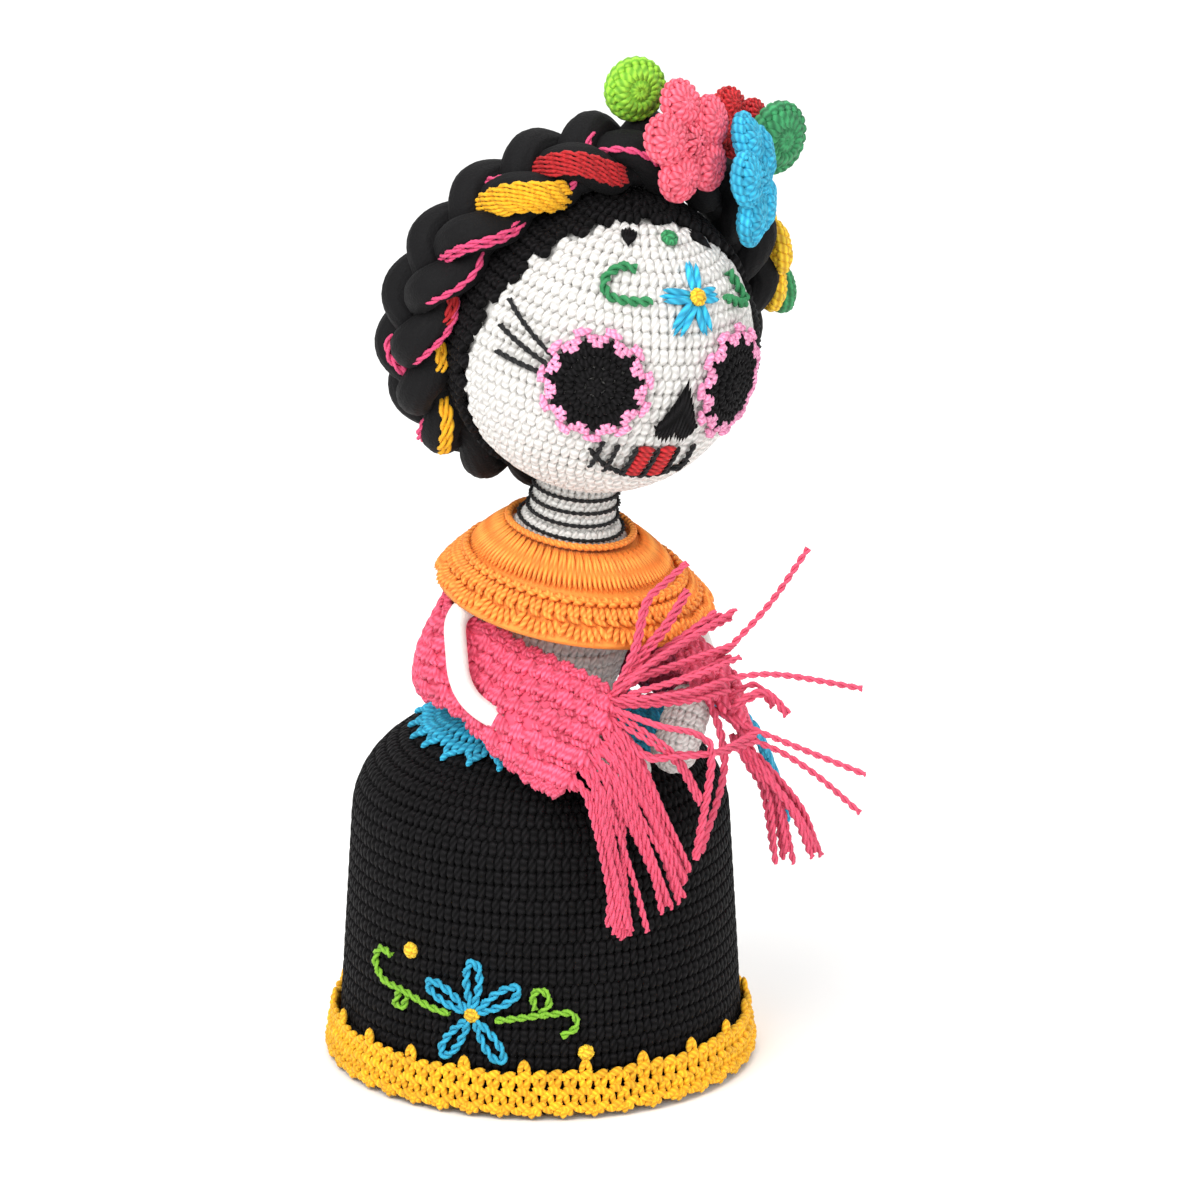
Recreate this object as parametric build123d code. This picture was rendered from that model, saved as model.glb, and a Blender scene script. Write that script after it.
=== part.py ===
from build123d import *
import os
from math import acos, cos, degrees, pi, radians, sin, sqrt, tan

os.makedirs("parts", exist_ok=True)

# A crocheted catrina doll: a stuffed bell skirt carries a leaning torso, a neck
# that turns on a wooden stick, and a ball head that nods on the neck's rounded top.
# The doll faces -Y, her right side is -X, and the origin is the middle of the base.

# ---------------------------------------------------------------- driving sizes
# skirt and base
BASE_THICKNESS = 1.2
BOTTOM_THICKNESS = 1.8
SKIRT_RADIUS = 40.0
SKIRT_HEIGHT = 73.0
SKIRT_WALL = 2.2
SKIRT_TAPER = 3.2
SHOULDER_DROP = 12.0
SHOULDER_ROUND = 18.0
WAIST_RADIUS = 14.0
HEM_BOTTOM_Z = 2.2
HEM_TOP_Z = 9.5
HEM_THICKNESS = 1.9
HEM_FLARE = 1.1
FRILL_RADIUS = 24.5
FRILL_THICKNESS = 1.6
FRILL_POINTS = 26
FRILL_POINT_DEPTH = 3.0
SASH_WIDTH = 9.0
SASH_THICKNESS = 1.8
SASH_ANGLE = -30.0
SASH_DROP = 29.0
SASH_REACH = 9.5
# spine, torso, collar and neck
SPINE_LEAN_SIDE = 6.3
SPINE_LEAN_FRONT = 6.3
TORSO_LENGTH = 36.0
TORSO_RADIUS = 15.5
TORSO_TOP_RADIUS = 11.5
TORSO_WALL = 1.8
COLLAR_OPENING = 12.2
COLLAR_RADIUS = 27.5
COLLAR_DEPTH = 13.0
COLLAR_THICKNESS = 2.0
COLLAR_SHIFT = 2.2
NECK_RADIUS = 7.7
NECK_FLARE_RADIUS = 11.0
NECK_FLARE_HEIGHT = 5.4
NECK_LENGTH = 13.2
STICK_RADIUS = 3.0
NECK_RING_RADIUS = 0.35
NECK_RING_COUNT = 4
# head, hair and face; each pair of latitudes is her right, her left
HEAD_RADIUS = 30.0
HEAD_WALL = 2.0
FACE_TURN = -5.0
FACE_ROLL = 3.0
HAIR_THICKNESS = 1.6
HAIRLINE_FORWARD = 2.5
HAIRLINE_CLEARANCE = 1.6
THREAD_THICKNESS = 0.85
EYE_RADIUS = 8.1
EYE_RING_WIDTH = 2.8
NOSE_LONGITUDE = 4.0
NOSE_LATITUDE = -5.0
EYE_LONGITUDE = 31.0
EYE_LATITUDES = (2.4, 3.5)
BRAID_STRAND_RADIUS = 2.15
BRAID_HALF_WIDTH = 5.2
BRAID_HALF_DEPTH = 3.0
BRAID_CROSSINGS = 6
BRAID_BACK = 13.0
BRAID_TILT = 12.0
PINK_PETAL_RADIUS = 5.1
BLUE_PETAL_RADIUS = 5.7
YELLOW_PETAL_RADIUS = 5.5
RED_PETAL_RADIUS = 4.0
FLOWER_THICKNESS = 4.4
PETAL_COUNT = 5
PETAL_REACH = 1.45
PETAL_START = 18.0
LIGHT_LEAF_RADIUS = 6.3
DARK_LEAF_RADIUS = 7.2
LOWER_LEAF_RADIUS = 5.0
LEAF_THICKNESS = 4.0
# arms, hands and shawl
ARM_RADIUS = 2.25
HAND_RADIUS = 4.5
SHAWL_THICKNESS = 2.0
SHAWL_BOTTOM_S = 4.8
SHAWL_TOP_S = 20.0
SHAWL_END_HEIGHT = 17.0
FRINGE_RADIUS = 0.8
# fits
TURN_CLEARANCE = 0.4
SEAT_CLEARANCE = 0.15
SURFACE_GAP = 0.05

# ---------------------------------------------------------------- spine and head frames
LEAN_X = sin(radians(SPINE_LEAN_SIDE))
LEAN_Y = -sin(radians(SPINE_LEAN_FRONT))
SPINE_AXIS = Vector(LEAN_X, LEAN_Y, sqrt(1 - LEAN_X**2 - LEAN_Y**2))
SPINE_X = Vector(SPINE_AXIS.Z, 0, -SPINE_AXIS.X).normalized()
SPINE = Plane(origin=(0, 0, SKIRT_HEIGHT), x_dir=SPINE_X, z_dir=SPINE_AXIS)

NECK_BASE_S = TORSO_LENGTH + TURN_CLEARANCE
NECK_TOP_S = NECK_BASE_S + NECK_LENGTH
SOCKET_RADIUS = NECK_RADIUS + TURN_CLEARANCE
HEAD_CENTRE_S = NECK_TOP_S + sqrt(HEAD_RADIUS**2 - SOCKET_RADIUS**2)
HEAD_CENTRE = SPINE.from_local_coords(Vector(0, 0, HEAD_CENTRE_S))
FACE = Plane(origin=HEAD_CENTRE, x_dir=SPINE_X, z_dir=SPINE_AXIS).rotated((0, FACE_ROLL, FACE_TURN))
HAIR_RADIUS = HEAD_RADIUS + HAIR_THICKNESS
FAR = 4 * HEAD_RADIUS


def spine_point(x, y, s):
    """A point beside the spine, s along it, in the doll's frame."""
    return SPINE.from_local_coords(Vector(x, y, s))


def face_direction(longitude, latitude):
    """Unit direction from the head's centre, in the doll's frame."""
    lon = radians(longitude)
    lat = radians(latitude)
    across = cos(lat)
    local = Vector(across * sin(lon), -across * cos(lon), sin(lat))
    return FACE.from_local_coords(local) - HEAD_CENTRE


def shell_between(inner, outer):
    """Hollow ball around the head's centre."""
    return Pos(HEAD_CENTRE) * (Sphere(outer) - Sphere(inner))


def thread_layer(thickness=THREAD_THICKNESS):
    """The layer that embroidery takes up on the head."""
    base = HEAD_RADIUS + SURFACE_GAP
    return shell_between(base, base + thickness)


def on_head(longitude, latitude, sketch, layer):
    """A flat outline projected outwards onto a layer of the head."""
    out = face_direction(longitude, latitude)
    across = face_direction(longitude + 90, 0)
    plane = Plane(origin=HEAD_CENTRE, x_dir=across, z_dir=out)
    return plane * extrude(sketch, FAR, dir=(0, 0, 1)) & layer


def dart(start, end, width, layer, rounded=False):
    """A stitch between two places given as longitude and latitude."""
    a = face_direction(*start)
    b = face_direction(*end)
    length = (b - a).length * HEAD_RADIUS
    plane = Plane(origin=HEAD_CENTRE, x_dir=b - a, z_dir=a + b)
    shape = Ellipse(length / 2, width / 2) if rounded else Rectangle(length + width, width)
    return plane * extrude(shape, FAR, dir=(0, 0, 1)) & layer


def corner_radii(points):
    """Arc radii that use nearly half of the shorter run beside each corner."""
    radii = []
    for before, here, after in zip(points, points[1:], points[2:]):
        run_in = here - before
        run_out = after - here
        turn = radians(run_in.get_angle(run_out))
        radii.append(0.45 * min(run_in.length, run_out.length) / tan(turn / 2))
    return radii


def tube(points, radius):
    """Round cord along straight runs joined by tangent arcs."""
    route = [Vector(*p) if isinstance(p, tuple) else p for p in points]
    path = FilletPolyline(*route, radius=corner_radii(route))
    section = Plane(origin=route[0], z_dir=route[1] - route[0]) * Circle(radius)
    return sweep(section, path=path)


def revolve_profile(*points):
    """Solid of revolution about the local Z axis."""
    return revolve(Plane.XZ * make_face(Polyline(*points, close=True)), Axis.Z)


# ---------------------------------------------------------------- skirt
def skirt_body(inset):
    """Solid bell, its outline moved inwards by inset."""
    floor_z = BASE_THICKNESS + BOTTOM_THICKNESS + max(inset - SKIRT_WALL, 0)
    side = SKIRT_RADIUS - SKIRT_TAPER - inset
    top_z = SKIRT_HEIGHT - inset
    outline = FilletPolyline(
        (SKIRT_RADIUS - inset, floor_z),
        (side, SKIRT_HEIGHT - SHOULDER_DROP - inset),
        (WAIST_RADIUS, top_z),
        (0, top_z),
        radius=[SHOULDER_ROUND - max(inset, 0), 1.0],
    )
    closing = Polyline((0, top_z), (0, floor_z), (SKIRT_RADIUS - inset, floor_z))
    return revolve(Plane.XZ * make_face([outline, closing]), Axis.Z)


def make_base_disc():
    return Pos(0, 0, BASE_THICKNESS / 2) * Cylinder(SKIRT_RADIUS, BASE_THICKNESS)


def make_skirt_bottom():
    z = BASE_THICKNESS + BOTTOM_THICKNESS / 2
    return Pos(0, 0, z) * Cylinder(SKIRT_RADIUS, BOTTOM_THICKNESS)


def make_skirt_shell():
    bore_radius = WAIST_RADIUS - 2 * SKIRT_WALL
    bore = Pos(0, 0, SKIRT_HEIGHT) * Cylinder(bore_radius, 4 * SKIRT_WALL)
    return skirt_body(0) - skirt_body(SKIRT_WALL) - bore


def make_skirt_stuffing():
    return skirt_body(SKIRT_WALL + SEAT_CLEARANCE)


def make_hem_trim():
    """Lace band that flares away from the foot of the skirt."""
    top = SKIRT_RADIUS + SEAT_CLEARANCE
    bottom = top + HEM_FLARE
    return revolve_profile(
        (bottom, HEM_BOTTOM_Z),
        (bottom + HEM_THICKNESS, HEM_BOTTOM_Z),
        (top + HEM_THICKNESS, HEM_TOP_Z),
        (top, HEM_TOP_Z),
    )


def make_waist_frill():
    """Pointed frill that lies on the sloping shoulder of the skirt, all round the waist."""
    inner = WAIST_RADIUS + 1.0
    base_z = SKIRT_HEIGHT + 2 * SEAT_CLEARANCE
    slope = SHOULDER_DROP / (SKIRT_RADIUS - SKIRT_TAPER - WAIST_RADIUS)
    edge_z = base_z - slope * (FRILL_RADIUS - WAIST_RADIUS)
    frill = revolve_profile(
        (inner, base_z),
        (FRILL_RADIUS, edge_z),
        (FRILL_RADIUS, edge_z + FRILL_THICKNESS),
        (inner, base_z + FRILL_THICKNESS),
    )
    notch = Pos(FRILL_RADIUS, 0, edge_z) * Cylinder(FRILL_POINT_DEPTH / 2, 6 * FRILL_THICKNESS)
    notches = [Rot(0, 0, 360 * i / FRILL_POINTS) * notch for i in range(FRILL_POINTS)]
    return frill - notches


def make_sash_tail():
    """Flat end of the sash, hanging clear of the skirt at her left front."""
    out = Vector(cos(radians(SASH_ANGLE)), sin(radians(SASH_ANGLE)), 0)
    heights = {
        SKIRT_RADIUS - 9.0: SKIRT_HEIGHT - 0.5,
        SKIRT_RADIUS + 2.0: SKIRT_HEIGHT - 0.22 * SASH_DROP,
        SKIRT_RADIUS + 0.7 * SASH_REACH: SKIRT_HEIGHT - 0.59 * SASH_DROP,
        SKIRT_RADIUS + SASH_REACH: SKIRT_HEIGHT - SASH_DROP,
    }
    route = [Vector(out.X * r, out.Y * r, z) for r, z in heights.items()]
    path = FilletPolyline(*route, radius=corner_radii(route))
    side = out.cross(Vector(0, 0, 1))
    plane = Plane(origin=route[0], x_dir=side, z_dir=route[1] - route[0])
    return sweep(plane * Rectangle(SASH_WIDTH, SASH_THICKNESS), path=path)


# ---------------------------------------------------------------- embroidery on the skirt
def skirt_patch(angle, z, sketch):
    """A flat outline laid on the skirt at an angle from the front and a height."""
    layer = skirt_body(-SURFACE_GAP - THREAD_THICKNESS) - skirt_body(-SURFACE_GAP)
    out = Vector(sin(radians(angle)), -cos(radians(angle)), 0)
    across = Vector(cos(radians(angle)), sin(radians(angle)), 0)
    start = Vector(0, 0, z) + out * (SKIRT_RADIUS - 3 * SKIRT_TAPER)
    plane = Plane(origin=start, x_dir=across, z_dir=out)
    return plane * extrude(sketch, 4 * SKIRT_TAPER) & layer


def skirt_stitch(start, end, width):
    """A straight stitch on the skirt between two (angle, height) places."""
    arc = radians(end[0] - start[0]) * SKIRT_RADIUS
    rise = end[1] - start[1]
    length = sqrt(arc**2 + rise**2)
    tilt = degrees(acos(arc / length)) * (1 if rise >= 0 else -1)
    bar = Rot(0, 0, tilt) * Rectangle(length + width, width)
    return skirt_patch((start[0] + end[0]) / 2, (start[1] + end[1]) / 2, bar)


SKIRT_FLOWER_ANGLE = -54.0
SKIRT_FLOWER_Z = 20.7


def make_skirt_flower_petals():
    """Five lazy-daisy petals in one thread."""
    petals = []
    for turn in (90, 152, 34, 236, 304):
        petals.append(Rot(0, 0, turn) * Pos(6.6, 0, 0) * Ellipse(4.4, 1.7))
    return skirt_patch(SKIRT_FLOWER_ANGLE, SKIRT_FLOWER_Z, Sketch() + petals)


def make_skirt_vine():
    left = [(-71, 21.5), (-79, 21.9), (-88, 22.8), (-91, 26.0), (-84, 28.4)]
    right = [(-37, 21.6), (-30, 22.2), (-24.5, 21.4), (-26, 18.2), (-30, 17.2)]
    stitches = [skirt_stitch(a, b, 1.5) for run in (left, right) for a, b in zip(run, run[1:])]
    stitches.append(skirt_stitch((-33, 24.0), (-33, 26.5), 2.6))
    return Part() + stitches


def make_skirt_knots():
    places = [(SKIRT_FLOWER_ANGLE, SKIRT_FLOWER_Z), (-75, 31.5), (-21, 13.4)]
    return Part() + [skirt_patch(angle, z, Circle(1.7)) for angle, z in places]


# ---------------------------------------------------------------- torso, collar and neck
def torso_body(inset):
    """Leaning torso with its foot cut level on top of the skirt."""
    foot = -3.0
    outline = FilletPolyline(
        (WAIST_RADIUS - 1.5 - inset, foot),
        (TORSO_RADIUS - inset, TORSO_LENGTH * 0.45),
        (TORSO_RADIUS - inset, TORSO_LENGTH * 0.72),
        (TORSO_TOP_RADIUS - inset, TORSO_LENGTH - inset),
        (0, TORSO_LENGTH - inset),
        radius=[30.0, 6.0, 1.0],
    )
    closing = Polyline((0, TORSO_LENGTH - inset), (0, foot), (WAIST_RADIUS - 1.5 - inset, foot))
    body = revolve(Plane.XZ * make_face([outline, closing]), Axis.Z)
    level = SKIRT_HEIGHT + SEAT_CLEARANCE
    above = Pos(0, 0, level + TORSO_LENGTH) * Box(FAR, FAR, 2 * TORSO_LENGTH)
    return SPINE * body & above


def stick(extra):
    """Wooden stick from the torso into the neck, grown by extra all round."""
    foot = TORSO_LENGTH * 0.35
    length = NECK_TOP_S - TURN_CLEARANCE - foot + extra
    place = SPINE * Pos(0, 0, foot + length / 2 - extra / 2)
    return place * Cylinder(STICK_RADIUS + extra, length)


def make_torso_shell():
    return torso_body(0) - torso_body(TORSO_WALL) - stick(SEAT_CLEARANCE)


def make_torso_stuffing():
    return torso_body(TORSO_WALL + SEAT_CLEARANCE) - stick(SEAT_CLEARANCE)


def make_blouse_collar():
    """Ribbed yoke that slopes from the neck out over the shoulders."""
    top = TORSO_LENGTH + 3.0
    rim = top - COLLAR_DEPTH
    shift = Pos(COLLAR_SHIFT, -COLLAR_SHIFT, 0)
    rise = COLLAR_THICKNESS

    def cone(opening, radius, lift):
        upper = Pos(0, 0, top + lift) * Circle(opening)
        lower = shift * Pos(0, 0, rim + lift) * Circle(radius)
        return loft([upper, lower])

    outer = cone(COLLAR_OPENING + 1.0, COLLAR_RADIUS, 0)
    inner = cone(COLLAR_OPENING - 1.0, COLLAR_RADIUS, -rise)
    opening = Pos(0, 0, top) * Cylinder(COLLAR_OPENING, COLLAR_DEPTH)
    return SPINE * (outer - inner - opening)


def neck_radius_at(s):
    """Outer radius of the neck at a place along the spine."""
    share = min(max((s - NECK_BASE_S) / NECK_FLARE_HEIGHT, 0), 1)
    return NECK_FLARE_RADIUS + (NECK_RADIUS - NECK_FLARE_RADIUS) * share


def make_neck_tube():
    """Crocheted neck with a ball-shaped top that carries the head."""
    flare_top = NECK_BASE_S + NECK_FLARE_HEIGHT
    sides = revolve_profile(
        (0, NECK_BASE_S),
        (NECK_FLARE_RADIUS, NECK_BASE_S),
        (NECK_RADIUS, flare_top),
        (NECK_RADIUS, NECK_TOP_S),
        (0, NECK_TOP_S),
    )
    ball = Pos(0, 0, NECK_TOP_S) * Sphere(NECK_RADIUS)
    return SPINE * (sides + ball) - stick(TURN_CLEARANCE)


def make_neck_stick():
    return stick(0)


def make_neck_rings():
    """Black threads wound round the neck like the lines between neck bones."""
    lowest = NECK_BASE_S + 3.4
    highest = NECK_TOP_S - 2.6
    rings = []
    for i in range(NECK_RING_COUNT):
        s = lowest + (highest - lowest) * i / (NECK_RING_COUNT - 1)
        major = neck_radius_at(s - NECK_RING_RADIUS) + NECK_RING_RADIUS + SURFACE_GAP
        rings.append(SPINE * Pos(0, 0, s) * Torus(major, NECK_RING_RADIUS))
    return Part() + rings


# ---------------------------------------------------------------- head and hair
def socket():
    """Round pocket that the top of the neck turns in."""
    return SPINE * Pos(0, 0, NECK_TOP_S) * Sphere(SOCKET_RADIUS)


def make_head_shell():
    return shell_between(HEAD_RADIUS - HEAD_WALL, HEAD_RADIUS) - socket()


def make_head_stuffing():
    ball = Pos(HEAD_CENTRE) * Sphere(HEAD_RADIUS - HEAD_WALL - SEAT_CLEARANCE)
    return ball - socket()


def make_hair_cap():
    """Black hair behind a slanting hairline, open round the neck."""
    forward = FACE.from_local_coords(Vector(-0.05, -0.98, -0.2).normalized()) - HEAD_CENTRE
    behind = Plane(origin=HEAD_CENTRE + forward * HAIRLINE_FORWARD, z_dir=forward)
    keep = behind * Pos(0, 0, -FAR / 2) * Box(FAR, FAR, FAR)
    neck_room = SPINE * Pos(0, 0, NECK_TOP_S) * Cylinder(SOCKET_RADIUS + HAIRLINE_CLEARANCE, HEAD_RADIUS / 2)
    layer = shell_between(HEAD_RADIUS + SURFACE_GAP, HAIR_RADIUS)
    return (layer & keep) - neck_room


def make_hair_tufts():
    """Two short locks that point down over the forehead."""
    layer = thread_layer()
    lock = Polygon((-2.2, 3.0), (2.2, 3.0), (0.3, -4.2), align=None)
    tufts = [on_head(lon, lat, lock, layer) for lon, lat in ((-27, 66), (44, 62))]
    return Part() + tufts - make_hair_cap()


BRAID_NORMAL = Vector(0, cos(radians(BRAID_TILT)), sin(radians(BRAID_TILT)))
BRAID_UP = Vector(0, -sin(radians(BRAID_TILT)), cos(radians(BRAID_TILT)))
BRAID_REACH = HAIR_RADIUS + BRAID_STRAND_RADIUS + SEAT_CLEARANCE
BRAID_NEAR = BRAID_BACK - 0.7 * BRAID_HALF_WIDTH
BRAID_RADIUS = sqrt(BRAID_REACH**2 - BRAID_NEAR**2) + BRAID_HALF_DEPTH
BRAID_OUTSIDE = BRAID_RADIUS + BRAID_HALF_DEPTH + BRAID_STRAND_RADIUS


def crown_vector(turn, radius, back):
    """A place beside the crown: angle from the top, radius and depth behind the face."""
    out = Vector(1, 0, 0) * sin(turn) + BRAID_UP * cos(turn)
    return out * radius + BRAID_NORMAL * back


def braid_point(turn, strand):
    """Middle of one strand of the plait at an angle round the crown."""
    weave = BRAID_CROSSINGS * turn + 2 * pi * strand / 3
    back = BRAID_BACK + BRAID_HALF_WIDTH * sin(weave)
    radius = BRAID_RADIUS + BRAID_HALF_DEPTH * sin(2 * weave)
    return FACE.from_local_coords(crown_vector(turn, radius, back))


def make_braid():
    """Three strands plaited into a closed crown round the head."""
    steps = 10 * BRAID_CROSSINGS
    strands = []
    for strand in range(3):
        turns = [2 * pi * (i + 0.5) / steps for i in range(steps)]
        route = [braid_point(turn, strand) for turn in turns]
        looped = route + route[:2]
        path = FilletPolyline(*route, radius=min(corner_radii(looped)), close=True)
        start = path @ 0
        section = Plane(origin=start, z_dir=path % 0) * Circle(BRAID_STRAND_RADIUS)
        strands.append(sweep(section, path=path))
    return Part() + strands


RIBBON_THICKNESS = 1.0


def ribbon(turn, slant, length, width):
    """Short stretch of ribbon lying on the outside of the crown."""
    angle = radians(turn)
    radius = BRAID_OUTSIDE + RIBBON_THICKNESS / 2 + SURFACE_GAP
    origin = FACE.from_local_coords(crown_vector(angle, radius, BRAID_BACK))
    outward = FACE.from_local_coords(crown_vector(angle, 1, 0)) - HEAD_CENTRE
    backward = FACE.from_local_coords(BRAID_NORMAL) - HEAD_CENTRE
    plane = Plane(origin=origin, x_dir=backward, z_dir=outward)
    return plane * Rot(0, 0, slant) * Box(length, width, RIBBON_THICKNESS)


def make_ribbon_mustard():
    return Part() + [ribbon(-24, 65, 12, 4.0), ribbon(-128, 60, 6, 2.0)]


def make_ribbon_red():
    return Part() + [ribbon(-14, 60, 10, 2.0), ribbon(-96, -60, 6, 2.0)]


def make_ribbon_pink():
    return Part() + [ribbon(turn, 70, 11, 1.6) for turn in (-44, -60, -76, -112)]


# ---------------------------------------------------------------- flowers in the hair
def crown_place(x, y, z):
    """A place near the crown in the face's frame, as shares of the crown's outer radius."""
    return FACE.from_local_coords(Vector(x, y, z) * BRAID_OUTSIDE)


def flower(place, facing, petal_radius):
    """Puffy crocheted flower: five round petals about a round middle."""
    reach = petal_radius * PETAL_REACH
    outline = Sketch() + Circle(petal_radius)
    for i in range(PETAL_COUNT):
        turn = Rot(0, 0, 360 * i / PETAL_COUNT + PETAL_START)
        outline += turn * Pos(reach, 0) * Circle(petal_radius)
    solid = extrude(outline, FLOWER_THICKNESS / 2, both=True)
    return Plane(origin=place, z_dir=Vector(*facing)) * solid


def leaf(place, facing, radius):
    """Round crocheted leaf."""
    plane = Plane(origin=place, z_dir=Vector(*facing))
    return plane * Cylinder(radius, LEAF_THICKNESS)


def make_flower_pink():
    return flower(crown_place(0.192, -0.110, 1.092), (0.30, -0.93, 0.22), PINK_PETAL_RADIUS)


def make_flower_blue():
    return flower(crown_place(0.590, -0.134, 0.902), (0.70, -0.70, 0.12), BLUE_PETAL_RADIUS)


def make_flower_yellow():
    return flower(crown_place(1.040, 0.355, 0.331), (0.97, -0.22, 0.05), YELLOW_PETAL_RADIUS)


def make_flower_red():
    return flower(crown_place(0.765, 0.375, 0.929), (0.30, -0.92, 0.25), RED_PETAL_RADIUS)


def make_leaf_light_green():
    return leaf(crown_place(0.022, 0.194, 1.255), (-0.15, -0.98, 0.10), LIGHT_LEAF_RADIUS)


def make_leaf_dark_green():
    return leaf(crown_place(0.930, 0.270, 0.950), (0.20, -0.98, 0.00), DARK_LEAF_RADIUS)


def make_leaf_dark_green_lower():
    return leaf(crown_place(1.225, 0.425, 0.090), (0.97, -0.22, 0.05), LOWER_LEAF_RADIUS)


# ---------------------------------------------------------------- face
def on_eye(side, outline, layer):
    """A flat outline laid round the middle of one eye."""
    latitude = EYE_LATITUDES[0] if side < 0 else EYE_LATITUDES[1]
    return on_head(side * EYE_LONGITUDE, latitude, outline, layer)


def make_eye_patch(side):
    return on_eye(side, Circle(EYE_RADIUS), thread_layer())


def make_eye_ring(side):
    inner = EYE_RADIUS + SURFACE_GAP
    outline = Circle(inner + EYE_RING_WIDTH) - Circle(inner)
    return on_eye(side, outline, thread_layer(1.5))


def make_lashes(side):
    """Three straight black stitches fanning out from the corner of an eye."""
    stitches = (((75, 23), (52, 13.5)), ((74, 13), (54, 9)), ((72, 3.5), (55, 4.5)))
    layer = thread_layer()
    lines = [dart((side * a[0], a[1]), (side * b[0], b[1]), 0.9, layer) for a, b in stitches]
    return Part() + lines - make_eye_ring(side)


def make_nose_patch():
    """Black upside-down heart."""
    outline = Polygon((0, 7.0), (4.9, -3.4), (3.2, -6.0), (0, -4.8), (-3.2, -6.0), (-4.9, -3.4), align=None)
    return on_head(NOSE_LONGITUDE, NOSE_LATITUDE, outline, thread_layer(1.2))


MOUTH_LATITUDE = -30.0
LIP_HALF_WIDTH = 4.6
TEETH = (-12.0, -8.6, -LIP_HALF_WIDTH, 0, LIP_HALF_WIDTH, 8.6)


def mouth_outline():
    """Curved smile line with upright lines for the teeth."""
    smile = Circle(22.0) - Circle(21.0)
    lower = Pos(0, 17.8) * (smile & Pos(-1.5, -21.5) * Rectangle(23.8, 8.0))
    bars = [Pos(x, 0.6) * Rectangle(0.9, 8.0) for x in TEETH]
    return Sketch() + lower + bars


def make_mouth_thread():
    return on_head(0, MOUTH_LATITUDE, mouth_outline(), thread_layer())


def make_lip_thread():
    block = Pos(0, 0.8) * Rectangle(2 * LIP_HALF_WIDTH, 7.0)
    return on_head(0, MOUTH_LATITUDE, block, thread_layer()) - make_mouth_thread()


FOREHEAD_FLOWER = (11, 38)


def make_forehead_petals():
    tips = ((16, 53), (-9, 39), (-3, 24), (14, 23.5), (27, 38))
    layer = thread_layer()
    middle = face_direction(*FOREHEAD_FLOWER)
    petals = [dart(FOREHEAD_FLOWER, tip, 3.4, layer, rounded=True) for tip in tips]
    knot = Pos(HEAD_CENTRE + middle * HEAD_RADIUS) * Sphere(1.9)
    return Part() + petals - knot


def make_forehead_vine():
    layer = thread_layer()
    left = [(-13, 36.5), (-33, 36.5), (-36, 42), (-30, 48.5), (-21, 48.5)]
    right = [(31, 35.5), (48, 31), (45, 39.5), (44, 43.5)]
    stitches = [dart(a, b, 1.6, layer) for run in (left, right) for a, b in zip(run, run[1:])]
    return Part() + stitches


def make_forehead_knots():
    """A yellow knot in the flower and a green one under the hairline."""
    layer = shell_between(HEAD_RADIUS + SURFACE_GAP, HEAD_RADIUS + 1.4)
    places = (FOREHEAD_FLOWER, (8, 63))
    return Part() + [on_head(lon, lat, Circle(1.7), layer) for lon, lat in places]


# ---------------------------------------------------------------- arms, hands and shawl
SHOULDER_S = TORSO_LENGTH * 0.68
SHOULDER_OUT = TORSO_RADIUS + TURN_CLEARANCE + 0.4
SHOULDER = spine_point(0, 0, SHOULDER_S)
HAND_FRONT = -(SKIRT_RADIUS - 7.0)


def arm_route(side):
    """Shoulder, elbow and wrist of one arm; side is -1 for her right."""
    mid = SHOULDER.X
    reach = SHOULDER_OUT + 5.5
    lift = 0 if side < 0 else 1.5
    return [
        spine_point(side * SHOULDER_OUT, 0, SHOULDER_S),
        spine_point(side * (reach + 4.0), -1.0, SHOULDER_S - 2.0),
        Vector(mid + side * (reach + 7.0), SHOULDER.Y - 7.5, SHOULDER.Z - 14.5 + lift),
        Vector(mid + side * (reach + 1.0), HAND_FRONT * 0.66, SHOULDER.Z - 19.5 + lift),
        Vector(mid + side * 11.2, HAND_FRONT + 1.0, SKIRT_HEIGHT + 4.5 + lift),
    ]


def make_arm(side):
    """Thin crocheted cord sewn to the side of the torso."""
    return tube(arm_route(side), ARM_RADIUS)


def make_hand(side):
    """Rounded lobe at the end of the arm."""
    wrist = arm_route(side)[-1]
    down = Vector(-side * 5.6, -3.2, -7.0)
    tip = wrist + down
    palm = Plane(origin=wrist, z_dir=down)
    middle = palm * Pos(0, 0, down.length / 2) * Cylinder(HAND_RADIUS, down.length)
    ends = Part() + [Pos(wrist) * Sphere(HAND_RADIUS), Pos(tip) * Sphere(HAND_RADIUS)]
    return middle + ends - make_arm(side)


def make_shawl_back():
    """Shawl across the back, drawn forward between the arms and the torso."""
    inside = SHOULDER_OUT + 3.2
    plan = []
    for side in (-1, 1):
        half = [
            (side * (inside - 1.0), -12.0),
            (side * inside, -3.5),
            (side * (inside + 4.5), 5.0),
            (side * inside, 14.0),
            (side * 9.0, 21.5),
        ]
        plan += half if side < 0 else half[::-1]
    middle_s = (SHAWL_BOTTOM_S + SHAWL_TOP_S) / 2
    route = [Vector(x, y, middle_s) for x, y in plan]
    path = FilletPolyline(*route, radius=corner_radii(route))
    start = Plane(origin=route[0], x_dir=(0, 0, 1), z_dir=route[1] - route[0])
    band = sweep(start * Rectangle(SHAWL_TOP_S - SHAWL_BOTTOM_S, SHAWL_THICKNESS), path=path)
    return SPINE * band


def shawl_end_plane(side):
    """Upright plane just outside one forearm, its X axis towards the hands."""
    elbow, wrist = arm_route(side)[3:5]
    along = Vector(wrist.X - elbow.X, wrist.Y - elbow.Y, 0)
    middle = (elbow + wrist) * 0.5
    outward = along.cross(Vector(0, 0, side)).normalized()
    offset = ARM_RADIUS + SHAWL_THICKNESS / 2 + 2.4
    return Plane(origin=middle + outward * -offset, x_dir=along, z_dir=outward * -side)


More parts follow.
